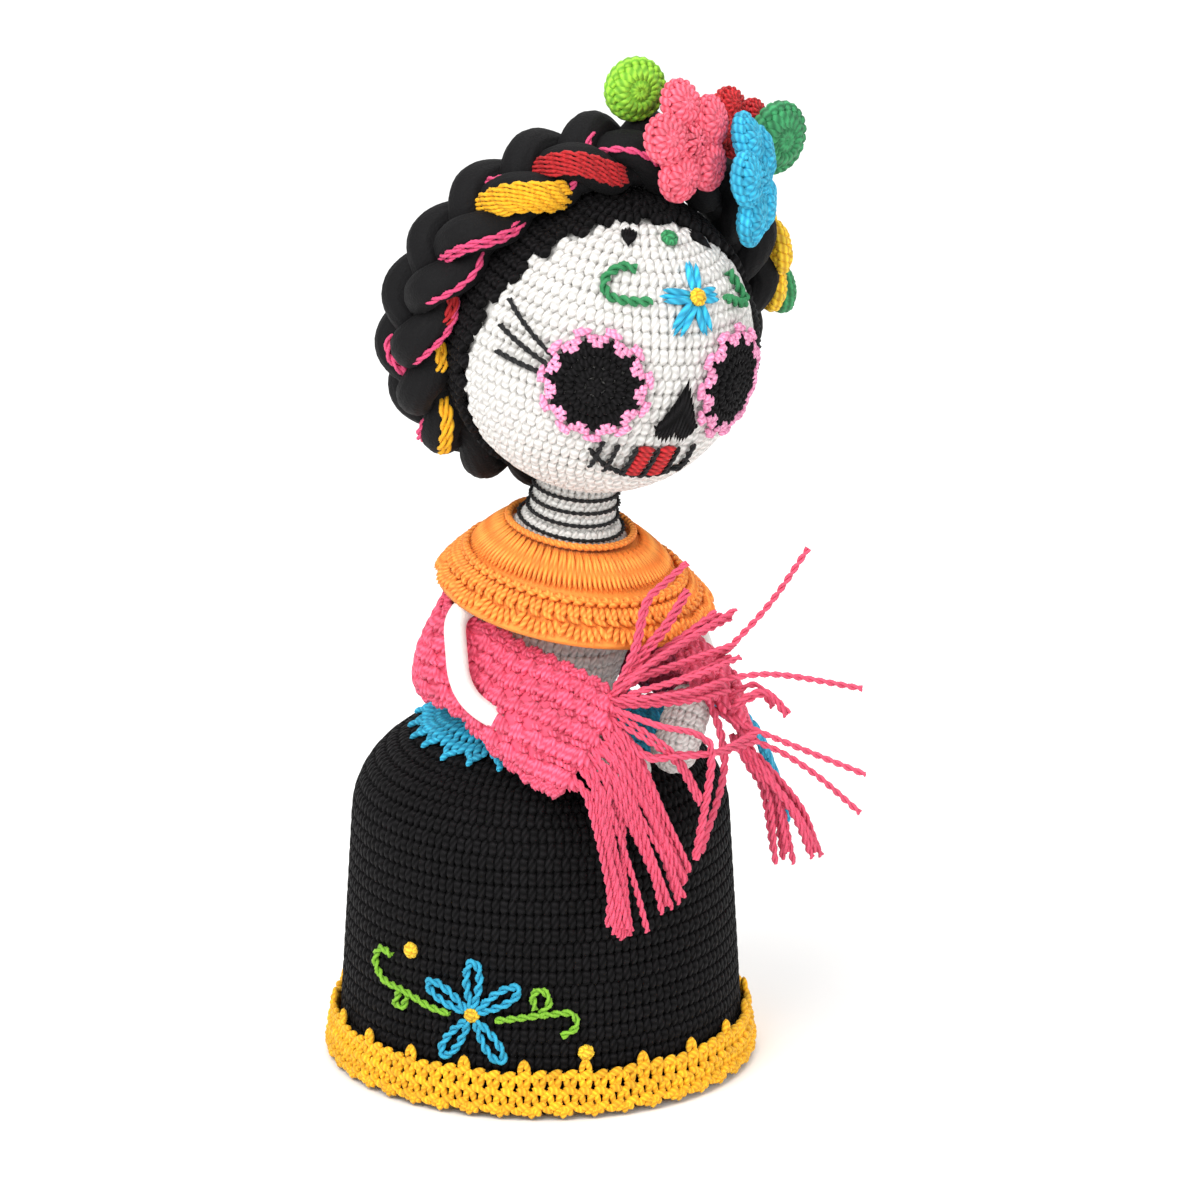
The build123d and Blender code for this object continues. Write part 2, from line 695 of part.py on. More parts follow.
def make_shawl_end(side):
    """End of the shawl hanging over a forearm, its free edge cut on a slant."""
    half = SHAWL_END_HEIGHT / 2
    outline = Polygon((-11.5, -half), (3.5, -half), (11.5, half), (-11.5, half), align=None)
    plane = shawl_end_plane(side)
    tilt = 1 if plane.y_dir.Z > 0 else -1
    sheet = extrude(Rot(0 if tilt > 0 else 180, 0, 0) * outline, SHAWL_THICKNESS / 2, both=True)
    return plane * sheet


def fringe(side, tips):
    """Twisted strands knotted along the free edge of a shawl end."""
    half = SHAWL_END_HEIGHT / 2
    plane = shawl_end_plane(side)
    up = 1 if plane.y_dir.Z > 0 else -1
    strands = []
    for i, tip in enumerate(tips):
        share = (i + 0.5) / len(tips)
        x = 3.5 + 8.0 * share + FRINGE_RADIUS + 0.6
        y = up * (-half + SHAWL_END_HEIGHT * share)
        root = plane.from_local_coords(Vector(x, y, 0))
        knee = root + (plane.x_dir * 4.0) + (Vector(*tip) - root) * 0.12
        strands.append(tube([root, knee, Vector(*tip)], FRINGE_RADIUS))
    return Part() + strands


RIGHT_TIPS = (
    (-15.0, -45.0, 42.5),
    (-11.0, -45.5, 40.5),
    (-7.0, -45.5, 40.0),
    (-2.5, -46.0, 42.0),
    (2.0, -46.5, 46.0),
    (7.0, -47.0, 50.0),
)
LEFT_TIPS = (
    (10.5, -46.0, 50.0),
    (30.0, -44.0, 43.0),
    (41.0, -46.0, 43.0),
    (52.0, -47.0, 48.0),
    (55.5, -47.0, 58.0),
    (54.0, -47.0, 75.0),
    (40.0, -46.0, 106.0),
)


def make_fringe_right():
    return fringe(-1, RIGHT_TIPS)


def make_fringe_left():
    return fringe(1, LEFT_TIPS)


# ---------------------------------------------------------------- write every piece
SIDES = {"right": -1, "left": 1}

pieces = {
    "base_disc": make_base_disc(),
    "skirt_bottom": make_skirt_bottom(),
    "skirt_shell": make_skirt_shell(),
    "skirt_stuffing": make_skirt_stuffing(),
    "hem_trim": make_hem_trim(),
    "waist_frill": make_waist_frill(),
    "sash_tail": make_sash_tail(),
    "skirt_flower_petals": make_skirt_flower_petals(),
    "skirt_vine": make_skirt_vine(),
    "skirt_knots": make_skirt_knots(),
    "torso_shell": make_torso_shell(),
    "torso_stuffing": make_torso_stuffing(),
    "blouse_collar": make_blouse_collar(),
    "neck_tube": make_neck_tube(),
    "neck_stick": make_neck_stick(),
    "neck_rings": make_neck_rings(),
    "head_shell": make_head_shell(),
    "head_stuffing": make_head_stuffing(),
    "hair_cap": make_hair_cap(),
    "hair_tufts": make_hair_tufts(),
    "braid": make_braid(),
    "ribbon_mustard": make_ribbon_mustard(),
    "ribbon_red": make_ribbon_red(),
    "ribbon_pink": make_ribbon_pink(),
    "flower_pink": make_flower_pink(),
    "flower_blue": make_flower_blue(),
    "flower_yellow": make_flower_yellow(),
    "flower_red": make_flower_red(),
    "leaf_light_green": make_leaf_light_green(),
    "leaf_dark_green": make_leaf_dark_green(),
    "leaf_dark_green_lower": make_leaf_dark_green_lower(),
    "nose_patch": make_nose_patch(),
    "mouth_thread": make_mouth_thread(),
    "lip_thread": make_lip_thread(),
    "forehead_petals": make_forehead_petals(),
    "forehead_vine": make_forehead_vine(),
    "forehead_knots": make_forehead_knots(),
    "shawl_back": make_shawl_back(),
    "fringe_right": make_fringe_right(),
    "fringe_left": make_fringe_left(),
}
for name, side in SIDES.items():
    pieces[f"eye_patch_{name}"] = make_eye_patch(side)
    pieces[f"eye_ring_{name}"] = make_eye_ring(side)
    pieces[f"lashes_{name}"] = make_lashes(side)
    pieces[f"{name}_arm"] = make_arm(side)
    pieces[f"{name}_hand"] = make_hand(side)
    pieces[f"shawl_{name}_end"] = make_shawl_end(side)

for node, shape in pieces.items():
    export_step(shape, f"parts/{node}.step")
print(len(pieces), "pieces")
print("spine axis", SPINE_AXIS, "head centre", HEAD_CENTRE)
print("neck top", spine_point(0, 0, NECK_TOP_S), "shoulder", SHOULDER)
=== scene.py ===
import math
import random

import bpy
import numpy as np
from mathutils import Matrix, Vector


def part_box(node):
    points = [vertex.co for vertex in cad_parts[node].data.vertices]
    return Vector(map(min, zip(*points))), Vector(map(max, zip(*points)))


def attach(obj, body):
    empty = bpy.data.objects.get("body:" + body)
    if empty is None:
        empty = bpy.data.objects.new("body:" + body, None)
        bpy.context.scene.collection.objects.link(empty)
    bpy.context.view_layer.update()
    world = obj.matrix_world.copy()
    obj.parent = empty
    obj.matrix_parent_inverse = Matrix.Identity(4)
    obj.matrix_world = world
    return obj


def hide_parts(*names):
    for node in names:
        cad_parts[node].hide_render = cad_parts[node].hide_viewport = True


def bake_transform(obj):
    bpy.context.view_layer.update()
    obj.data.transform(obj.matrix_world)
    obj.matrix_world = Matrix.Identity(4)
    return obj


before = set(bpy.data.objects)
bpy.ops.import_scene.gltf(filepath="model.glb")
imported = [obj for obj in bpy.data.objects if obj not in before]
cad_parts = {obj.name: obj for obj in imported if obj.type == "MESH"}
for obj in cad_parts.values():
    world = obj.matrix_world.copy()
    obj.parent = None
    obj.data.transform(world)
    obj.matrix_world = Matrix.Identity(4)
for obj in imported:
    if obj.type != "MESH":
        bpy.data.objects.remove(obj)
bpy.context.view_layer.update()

# ------------------------------------------------------------------ stage, camera and light
# The doll stands on a flat plain pale floor under three large soft lamps, and is looked at from her right
# front, a little from above.
scene = bpy.context.scene
AIM = Vector((0.0268, 0.0186, 0.0837))
TURN = math.radians(-34.0)
HEIGHT_ANGLE = math.radians(20.0)
DISTANCE = 6.0


def link(obj):
    scene.collection.objects.link(obj)
    return obj


def look_from(turn, up, distance, aim):
    """A place on the sphere round aim, and the rotation that faces aim from it."""
    out = Vector((math.sin(turn) * math.cos(up), -math.cos(turn) * math.cos(up), math.sin(up)))
    return aim + out * distance, out.to_track_quat("Z", "Y")


camera = link(bpy.data.objects.new("camera", bpy.data.cameras.new("camera")))
camera.data.sensor_width = 36.0
camera.data.lens = 36.0 * DISTANCE / 0.240
camera.data.clip_start = 0.05
camera.data.clip_end = 20.0
camera.rotation_mode = "QUATERNION"
camera.location, camera.rotation_quaternion = look_from(TURN, HEIGHT_ANGLE, DISTANCE, AIM)
scene.camera = camera


def lamp(name, turn, up, distance, size, power):
    """A square soft lamp aimed at the middle of the doll."""
    data = bpy.data.lights.new(name, "AREA")
    data.size = size
    data.energy = power
    obj = link(bpy.data.objects.new(name, data))
    obj.rotation_mode = "QUATERNION"
    place = look_from(math.radians(turn), math.radians(up), distance, Vector((0, 0, 0.1)))
    obj.location, obj.rotation_quaternion = place
    return obj


lamp("key_lamp", -70, 45, 0.9, 0.6, 7.5)
lamp("fill_lamp", 0, 12, 1.1, 0.9, 4.5)
lamp("top_lamp", 120, 65, 0.9, 0.7, 4.0)
world = bpy.data.worlds.new("studio")
world.use_nodes = True
world.node_tree.nodes["Background"].inputs["Color"].default_value = (1.0, 1.0, 1.0, 1)
world.node_tree.nodes["Background"].inputs["Strength"].default_value = 0.68
scene.world = world
scene.view_settings.view_transform = "Standard"

floor_mesh = bpy.data.meshes.new("floor")
FLOOR_HALF = 3.0
floor_mesh.from_pydata(
    [(-FLOOR_HALF, -FLOOR_HALF, 0), (FLOOR_HALF, -FLOOR_HALF, 0), (FLOOR_HALF, FLOOR_HALF, 0),
     (-FLOOR_HALF, FLOOR_HALF, 0)],
    [],
    [(0, 1, 2, 3)],
)
floor = link(bpy.data.objects.new("floor", floor_mesh))
floor_paint = bpy.data.materials.new("floor_paint")
floor_paint.use_nodes = True
floor_nodes = floor_paint.node_tree
floor_noise = floor_nodes.nodes.new("ShaderNodeTexNoise")
floor_noise.inputs["Scale"].default_value = 60.0
floor_tint = floor_nodes.nodes.new("ShaderNodeMix")
floor_tint.data_type = "RGBA"
floor_tint.inputs[6].default_value = (0.93, 0.93, 0.92, 1)
floor_tint.inputs[7].default_value = (0.96, 0.96, 0.955, 1)
floor_nodes.links.new(floor_noise.outputs["Fac"], floor_tint.inputs[0])
floor_nodes.links.new(floor_tint.outputs[2], floor_nodes.nodes["Principled BSDF"].inputs["Base Color"])
floor_nodes.nodes["Principled BSDF"].inputs["Roughness"].default_value = 0.85
floor_mesh.materials.append(floor_paint)

# ------------------------------------------------------------------ skirt
# A stuffed bell of black acrylic, worked in rounds of single crochet from the foot up to the
# waist. Every stitch is a V of two plump strands over the darker ground of the fabric.
MM = 0.001


def yarn_group():
    """Shared look of yarn: twisted plies along the stitch, stray fibres and uneven dye, with painted shade: a
    darker colour mixed in where the plies and fibres sink.
    """
    tree = bpy.data.node_groups.new("yarn_surface", "ShaderNodeTree")
    ends = tree.interface
    ends.new_socket("Colour", in_out="INPUT", socket_type="NodeSocketColor")
    ends.new_socket("Shade", in_out="INPUT", socket_type="NodeSocketColor")
    ends.new_socket("Plies", in_out="INPUT", socket_type="NodeSocketFloat")
    ends.new_socket("Twist", in_out="INPUT", socket_type="NodeSocketFloat")
    ends.new_socket("Unevenness", in_out="INPUT", socket_type="NodeSocketFloat")
    ends.new_socket("Colour", in_out="OUTPUT", socket_type="NodeSocketColor")
    ends.new_socket("Height", in_out="OUTPUT", socket_type="NodeSocketFloat")
    ends.new_socket("Roughness", in_out="OUTPUT", socket_type="NodeSocketFloat")
    nodes, wire = tree.nodes, tree.links.new
    inside = nodes.new("NodeGroupInput")
    out = nodes.new("NodeGroupOutput")

    def maths(kind, a, b):
        node = nodes.new("ShaderNodeMath")
        node.operation = kind
        for socket, value in zip(node.inputs, (a, b)):
            if isinstance(value, float):
                socket.default_value = value
            else:
                wire(value, socket)
        return node.outputs[0]

    coords = nodes.new("ShaderNodeTexCoord")
    split = nodes.new("ShaderNodeSeparateXYZ")
    wire(coords.outputs["UV"], split.inputs[0])
    turns = maths("ADD", maths("MULTIPLY", split.outputs["X"], inside.outputs["Plies"]),
                  maths("MULTIPLY", split.outputs["Y"], inside.outputs["Twist"]))
    ply = maths("ADD", maths("MULTIPLY", maths("SINE", maths("MULTIPLY", turns, 2 * math.pi), 0.0), 0.5), 0.5)
    fibres = nodes.new("ShaderNodeTexNoise")
    fibres.inputs["Scale"].default_value = 1900.0
    fibres.inputs["Detail"].default_value = 3.0
    wire(coords.outputs["Object"], fibres.inputs["Vector"])
    dye = nodes.new("ShaderNodeTexNoise")
    dye.inputs["Scale"].default_value = 140.0
    dye.inputs["Detail"].default_value = 2.0
    wire(coords.outputs["Object"], dye.inputs["Vector"])
    tone = nodes.new("ShaderNodeAttribute")
    tone.attribute_name = "tone"
    # Painted shade: the darker colour fills the grooves between the plies and the hollows of the fibre noise,
    # where the bump sinks.
    blend = nodes.new("ShaderNodeMix")
    blend.data_type = "RGBA"
    wire(maths("MULTIPLY", ply, maths("ADD", maths("MULTIPLY", fibres.outputs["Fac"], 0.6), 0.7)),
         blend.inputs[0])
    wire(inside.outputs["Shade"], blend.inputs[6])
    wire(inside.outputs["Colour"], blend.inputs[7])
    drift = maths("ADD", maths("SUBTRACT", dye.outputs["Fac"], 0.5), tone.outputs["Fac"])
    level = maths("ADD", maths("MULTIPLY", drift, inside.outputs["Unevenness"]), 1.0)
    tint = nodes.new("ShaderNodeVectorMath")
    tint.operation = "SCALE"
    wire(blend.outputs[2], tint.inputs[0])
    wire(level, tint.inputs["Scale"])
    wire(tint.outputs[0], out.inputs["Colour"])
    wire(maths("ADD", maths("MULTIPLY", ply, 0.6), maths("MULTIPLY", fibres.outputs["Fac"], 0.6)),
         out.inputs["Height"])
    wire(maths("ADD", maths("MULTIPLY", fibres.outputs["Fac"], 0.3),
               maths("SUBTRACT", 0.62, maths("MULTIPLY", ply, 0.12))),
         out.inputs["Roughness"])
    return tree


YARN = yarn_group()


def yarn(name, colour, painted_shade, gloss=0.3, sheen=0.4, plies=2.0, twist=2.4, uneven=0.35, depth=0.35):
    """A yarn of one dye lot with a darker second colour painted in as shade in the grooves between plies and
    fibres; gloss and sheen tell mercerised thread from fluffy acrylic.
    """
    material = bpy.data.materials.new(name)
    material.use_nodes = True
    nodes, wire = material.node_tree.nodes, material.node_tree.links.new
    body = nodes["Principled BSDF"]
    group = nodes.new("ShaderNodeGroup")
    group.node_tree = YARN
    group.inputs["Colour"].default_value = (*colour, 1)
    # The darker second colour is painted shade for the grooves of the yarn.
    group.inputs["Shade"].default_value = (*painted_shade, 1)
    group.inputs["Plies"].default_value = plies
    group.inputs["Twist"].default_value = twist
    group.inputs["Unevenness"].default_value = uneven
    bump = nodes.new("ShaderNodeBump")
    bump.inputs["Distance"].default_value = depth * MM
    bump.inputs["Strength"].default_value = 0.9
    wire(group.outputs["Height"], bump.inputs["Height"])
    wire(group.outputs["Colour"], body.inputs["Base Color"])
    wire(group.outputs["Roughness"], body.inputs["Roughness"])
    wire(bump.outputs["Normal"], body.inputs["Normal"])
    body.inputs["Specular IOR Level"].default_value = gloss
    body.inputs["Sheen Weight"].default_value = sheen
    body.inputs["Sheen Roughness"].default_value = 0.45
    body.inputs["Sheen Tint"].default_value = (*[min(1.0, 0.5 + c) for c in colour], 1)
    return material


BLACK = yarn("black_acrylic", (0.0075, 0.0068, 0.0075), (0.0015, 0.0013, 0.0015), gloss=0.10, sheen=0.02)


def mesh_object(name, points, faces, uv=None, smooth=True):
    """A mesh object in millimetres, with outward normals."""
    mesh = bpy.data.meshes.new(name)
    mesh.from_pydata([tuple(p * MM) for p in np.asarray(points, float)], [], faces)
    if uv is not None:
        layer = mesh.uv_layers.new(name="UVMap")
        corners = np.zeros(len(mesh.loops), int)
        mesh.loops.foreach_get("vertex_index", corners)
        layer.data.foreach_set("uv", np.asarray(uv, np.float32)[corners].ravel())
    mesh.polygons.foreach_set("use_smooth", [smooth] * len(mesh.polygons))
    mesh.validate()
    return link(bpy.data.objects.new(name, mesh))


def grid_faces(rows, columns, wrap=True):
    """Quads over rows of vertices, closed round the columns when wrap is set."""
    faces = []
    for r in range(rows - 1):
        for c in range(columns if wrap else columns - 1):
            d = (c + 1) % columns
            faces.append((r * columns + c, r * columns + d, (r + 1) * columns + d, (r + 1) * columns + c))
    return faces


def lobe(rings, sides, lean=0.0, shift=0.0):
    """One plump strand of a stitch, along Y, one unit long, wide and deep, leaning in the XY plane."""
    points, uv = [np.array([0, -0.5, 0])], [(0.5, 0.0)]
    for r in range(rings):
        t = (r + 1) / (rings + 1)
        radius = 0.5 * math.sin(math.pi * t) ** 0.55
        for s in range(sides):
            a = 2 * math.pi * s / sides
            points.append(np.array([radius * math.cos(a), t - 0.5, radius * math.sin(a)]))
            uv.append((s / sides, t))
    points.append(np.array([0, 0.5, 0]))
    uv.append((0.5, 1.0))
    faces = [(0, 1 + s, 1 + (s + 1) % sides) for s in range(sides)]
    faces += [tuple(i + 1 for i in quad[::-1]) for quad in grid_faces(rings, sides)]
    last = len(points) - 1
    faces += [(last, last - 1 - s, last - 1 - (s + 1) % sides) for s in range(sides)]
    turn = Matrix.Rotation(lean, 3, "Z")
    moved = [np.array(turn @ Vector(p)) + np.array([shift, 0, 0]) for p in points]
    return moved, faces, uv


def stitch_object(name, parts):
    """Hidden pattern object that a stitch layer repeats."""
    points, faces, uv = [], [], []
    for some, these, flat in parts:
        faces += [tuple(i + len(points) for i in f) for f in these]
        points += some
        uv += flat
    obj = mesh_object(name, np.array(points) / MM, faces, uv)
    obj.hide_render = True
    obj.hide_viewport = True
    return obj


def squeeze(part, width):
    """The same strand, narrower across X about its own middle."""
    points, faces, uv = part
    middle = sum(points) / len(points)
    return [np.array([middle[0] + (p[0] - middle[0]) * width, p[1], p[2]]) for p in points], faces, uv


V_STITCH = stitch_object("v_stitch", [
    squeeze(lobe(4, 6, math.radians(-20), -0.24), 0.62),
    squeeze(lobe(4, 6, math.radians(20), 0.24), 0.62),
])
STRAND = stitch_object("strand_stitch", [lobe(5, 8)])


def stitch_tree():
    """Repeats a stitch on points that carry its facing, direction, size and tone."""
    tree = bpy.data.node_groups.new("lay_stitches", "GeometryNodeTree")
    tree.interface.new_socket("Places", in_out="INPUT", socket_type="NodeSocketGeometry")
    tree.interface.new_socket("Stitch", in_out="INPUT", socket_type="NodeSocketObject")
    tree.interface.new_socket("Yarn", in_out="INPUT", socket_type="NodeSocketMaterial")
    tree.interface.new_socket("Plumpness", in_out="INPUT", socket_type="NodeSocketFloat").default_value = 1.0
    tree.interface.new_socket("Stitches", in_out="OUTPUT", socket_type="NodeSocketGeometry")
    nodes, wire = tree.nodes, tree.links.new
    inside = nodes.new("NodeGroupInput")
    out = nodes.new("NodeGroupOutput")

    def read(name):
        node = nodes.new("GeometryNodeInputNamedAttribute")
        node.data_type = "FLOAT_VECTOR"
        node.inputs["Name"].default_value = name
        return node.outputs["Attribute"]

    source = nodes.new("GeometryNodeObjectInfo")
    wire(inside.outputs["Stitch"], source.inputs["Object"])
    turn = nodes.new("FunctionNodeAxesToRotation")
    turn.primary_axis = "Z"
    turn.secondary_axis = "Y"
    wire(read("facing"), turn.inputs["Primary Axis"])
    wire(read("along"), turn.inputs["Secondary Axis"])
    grow = nodes.new("ShaderNodeVectorMath")
    grow.operation = "SCALE"
    wire(read("size"), grow.inputs[0])
    wire(inside.outputs["Plumpness"], grow.inputs["Scale"])
    lay = nodes.new("GeometryNodeInstanceOnPoints")
    wire(inside.outputs["Places"], lay.inputs["Points"])
    wire(source.outputs["Geometry"], lay.inputs["Instance"])
    wire(turn.outputs["Rotation"], lay.inputs["Rotation"])
    wire(grow.outputs[0], lay.inputs["Scale"])
    realize = nodes.new("GeometryNodeRealizeInstances")
    paint = nodes.new("GeometryNodeSetMaterial")
    wire(lay.outputs["Instances"], realize.inputs["Geometry"])
    wire(realize.outputs["Geometry"], paint.inputs["Geometry"])
    wire(inside.outputs["Yarn"], paint.inputs["Material"])
    wire(paint.outputs["Geometry"], out.inputs["Stitches"])
    return tree


LAY_STITCHES = stitch_tree()


def apply_nodes(obj, name, tree, values):
    """Runs a node tree on an object and returns the result as a plain mesh object."""
    modifier = obj.modifiers.new("nodes", "NODES")
    modifier.node_group = tree
    for item in tree.interface.items_tree:
        if item.in_out == "INPUT" and item.name in values:
            modifier[item.identifier] = values[item.name]
    graph = bpy.context.evaluated_depsgraph_get()
    graph.update()
    mesh = bpy.data.meshes.new_from_object(obj.evaluated_get(graph), preserve_all_data_layers=True,
                                           depsgraph=graph)
    mesh.name = name
    bpy.data.objects.remove(obj)
    return link(bpy.data.objects.new(name, mesh))


random.seed(7)


def lay_stitches(name, places, material, stitch=STRAND, plump=1.0):
    """Stitches in millimetres: each place is (point, facing, along, (width, length, depth))."""
    count = len(places)
    mesh = bpy.data.meshes.new(name + "_places")
    mesh.from_pydata([tuple(np.asarray(p[0]) * MM) for p in places], [], [])
    for key, column, scale in (("facing", 1, 1.0), ("along", 2, 1.0), ("size", 3, MM)):
        attribute = mesh.attributes.new(key, "FLOAT_VECTOR", "POINT")
        attribute.data.foreach_set("vector", (np.array([p[column] for p in places], float) * scale).ravel())
    tone = mesh.attributes.new("tone", "FLOAT", "POINT")
    tone.data.foreach_set("value", [random.uniform(-0.5, 0.5) for _ in range(count)])
    holder = link(bpy.data.objects.new(name + "_places", mesh))
    values = {"Stitch": stitch, "Yarn": material, "Plumpness": plump}
    obj = apply_nodes(holder, name, LAY_STITCHES, values)
    obj.data.polygons.foreach_set("use_smooth", [True] * len(obj.data.polygons))
    return obj


def join(name, *objs):
    """One piece out of several meshes, all placed at the origin."""
    with bpy.context.temp_override(active_object=objs[0], selected_editable_objects=list(objs)):
        bpy.ops.object.join()
    objs[0].name = name
    objs[0].data.name = name
    return objs[0]


def dress(obj, body, material_slot, *nodes):
    """The piece rides on a body and stands for CAD nodes; material_slot is not used."""
    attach(obj, body)
    if nodes:
        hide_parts(*nodes)
    return obj


def unit(v):
    v = np.asarray(v, float)
    return v / np.linalg.norm(v)


def round_profile(points, radii, steps=8):
    """Corners of an open (radius, height) outline rounded to arcs."""
    result = [np.array(points[0], float)]
    for before, here, after, radius in zip(points, points[1:], points[2:], radii):
        here = np.array(here, float)
        back, on = unit(np.array(before) - here), unit(np.array(after) - here)
        half = math.acos(np.clip(back @ on, -1, 1)) / 2
        reach = radius / math.tan(half)
        centre = here + unit(back + on) * radius / math.sin(half)
        start, end = here + back * reach - centre, here + on * reach - centre
        for i in range(steps + 1):
            mix = start * (1 - i / steps) + end * (i / steps)
            result.append(centre + unit(mix) * radius)
    result.append(np.array(points[-1], float))
    return np.array(result)


def along_profile(profile, step):
    """Evenly spaced places on an outline, with the direction of travel at each."""
    runs = np.linalg.norm(np.diff(profile, axis=0), axis=1)
    at = np.concatenate([[0], np.cumsum(runs)])
    count = max(2, int(round(at[-1] / step)) + 1)
    places = []
    for d in np.linspace(0, at[-1], count):
        i = min(int(np.searchsorted(at, d, side="right")) - 1, len(runs) - 1)
        share = (d - at[i]) / runs[i]
        places.append((profile[i] * (1 - share) + profile[i + 1] * share, unit(profile[i + 1] - profile[i])))
    return places


def revolve_mesh(name, profile, frame_matrix, sides=64, material=None):
    """Closed solid of revolution about the frame's Z axis."""
    origin, x, y, z = frame_matrix
    points = []
    for radius, height in profile:
        for s in range(sides):
            a = 2 * math.pi * s / sides
            points.append(origin + x * radius * math.cos(a) + y * radius * math.sin(a) + z * height)
    rows = len(profile)
    faces = grid_faces(rows, sides)
    points += [origin + z * profile[0][1], origin + z * profile[-1][1]]
    low, high = rows * sides, rows * sides + 1
    for s in range(sides):
        t = (s + 1) % sides
        faces.append((low, t, s))
        faces.append((high, (rows - 1) * sides + s, (rows - 1) * sides + t))
    obj = mesh_object(name, points, faces)
    obj.data.materials.append(material)
    return obj


def round_stitches(profile, step, width, frame_matrix, depth, lift, stagger=0.5, keep=None, skew=0.0):
    """Rounds of stitches laid on a surface of revolution."""
    origin, x, y, z = frame_matrix
    places = []
    for row, ((radius, height), run) in enumerate(along_profile(profile, step)):
        count = max(3, int(round(2 * math.pi * radius / width)))
        for s in range(count):
            a = 2 * math.pi * (s + stagger * row) / count
            out = x * math.cos(a) + y * math.sin(a)
            facing = unit(out * run[1] - z * run[0])
            side = np.cross(z, out)
            along = unit(out * run[0] + z * run[1] + side * skew)
            point = origin + out * radius + z * height + facing * lift
            if keep is None or keep(point):
                fit = 2 * math.pi * radius / count
                places.append((point, facing, along, (fit * 1.04, step * 1.32, depth)))
    return places


UPRIGHT = (np.zeros(3), np.array([1.0, 0, 0]), np.array([0, 1.0, 0]), np.array([0, 0, 1.0]))
skirt_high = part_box("skirt_shell")[1]
SKIRT_R = skirt_high.x / MM
SKIRT_H = skirt_high.z / MM
SKIRT_TAPER, SHOULDER_DROP, SHOULDER_ROUND, WAIST_R = 3.2, 12.0, 18.0, 14.0
STITCH_W, STITCH_H = 3.4, 3.0
skirt_outline = round_profile(
    [(SKIRT_R, 2.0), (SKIRT_R - SKIRT_TAPER, SKIRT_H - SHOULDER_DROP), (WAIST_R, SKIRT_H)],
    [SHOULDER_ROUND],
)
skirt_ground = skirt_outline - np.array([0.9, 0.0])
skirt = join(
    "skirt",
    revolve_mesh("skirt_ground", skirt_ground, UPRIGHT, 72, BLACK),
    lay_stitches("skirt_stitches", round_stitches(skirt_outline, STITCH_H, STITCH_W, UPRIGHT, 1.9, -0.45),
                 BLACK, V_STITCH),
)
dress(skirt, "doll_body", "black_yarn", "skirt_shell", "skirt_stuffing")

# ------------------------------------------------------------------ base board
# A disc of grey-brown board under the stuffing keeps the foot of the skirt round and flat. Only
# its cut edge shows below the lace.
def board_material():
    material = bpy.data.materials.new("kraft_board")
    material.use_nodes = True
    nodes, wire = material.node_tree.nodes, material.node_tree.links.new
    body = nodes["Principled BSDF"]
    coords = nodes.new("ShaderNodeTexCoord")
    stretch = nodes.new("ShaderNodeMapping")
    stretch.inputs["Scale"].default_value = (400, 400, 6000)
    wire(coords.outputs["Object"], stretch.inputs["Vector"])
    grain = nodes.new("ShaderNodeTexNoise")
    grain.inputs["Scale"].default_value = 1.0
    grain.inputs["Detail"].default_value = 5.0
    wire(stretch.outputs["Vector"], grain.inputs["Vector"])
    ramp = nodes.new("ShaderNodeValToRGB")
    ramp.color_ramp.elements[0].color = (0.16, 0.09, 0.04, 1)
    ramp.color_ramp.elements[1].color = (0.42, 0.27, 0.13, 1)
    wire(grain.outputs["Fac"], ramp.inputs["Fac"])
    wire(ramp.outputs["Color"], body.inputs["Base Color"])
    bump = nodes.new("ShaderNodeBump")
    bump.inputs["Distance"].default_value = 0.15 * MM
    wire(grain.outputs["Fac"], bump.inputs["Height"])
    wire(bump.outputs["Normal"], body.inputs["Normal"])
    body.inputs["Roughness"].default_value = 0.85
    return material


BASE_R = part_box("base_disc")[1].x / MM
board_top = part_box("skirt_bottom")[1].z / MM
board_edge = [(BASE_R - 0.4, 0.0), (BASE_R, 0.3), (BASE_R, 1.0), (BASE_R - 0.5, 1.2)]
board = revolve_mesh("base_board", board_edge, UPRIGHT, 96, board_material())
dress(board, "doll_body", "base_board", "base_disc")
bottom_edge = [(BASE_R - 1.2, 1.2), (BASE_R - 0.7, board_top)]
bottom = join(
    "skirt_foot",
    revolve_mesh("skirt_foot_ground", bottom_edge, UPRIGHT, 72, BLACK),
    lay_stitches("skirt_foot_round", [
        (np.array([math.cos(a), math.sin(a), 0]) * (BASE_R - 0.8) + np.array([0, 0, 2.0]),
         (math.cos(a), math.sin(a), 0), (-math.sin(a), math.cos(a), 0), (1.7, 3.6, 1.5))
        for a in np.linspace(0, 2 * math.pi, 76, endpoint=False)], BLACK),
)
dress(bottom, "doll_body", "black_yarn", "skirt_bottom")

# ------------------------------------------------------------------ lace hem
# Mustard cotton lace worked into the foot of the skirt: upright posts with gaps between them,
# a chain above and below, small points that climb the skirt and a scalloped lower edge.
MUSTARD = yarn("mustard_cotton", (0.96, 0.53, 0.015), (0.74, 0.32, 0.006), gloss=0.35, sheen=0.1, twist=3.0,
               depth=0.25)
HEM_LOW, HEM_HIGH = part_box("hem_trim")[0].z / MM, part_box("hem_trim")[1].z / MM
HEM_POSTS = 84
hem_places = []


def hem_radius(z):
    """The lace leans away from the skirt towards its lower edge."""
    share = min(max((z - HEM_LOW) / (HEM_HIGH - HEM_LOW), 0), 1)
    return 42.1 - 1.1 * share


def hem_place(angle, z, along_up, along_round, size, out=0.0):
    facing = np.array([math.cos(angle), math.sin(angle), 0.06])
    round_dir = np.array([-math.sin(angle), math.cos(angle), 0])
    point = facing * np.array([1, 1, 0]) * (hem_radius(z) + out) + np.array([0, 0, z])
    hem_places.append((point, unit(facing), unit(round_dir * along_round + np.array([0, 0, along_up])), size))


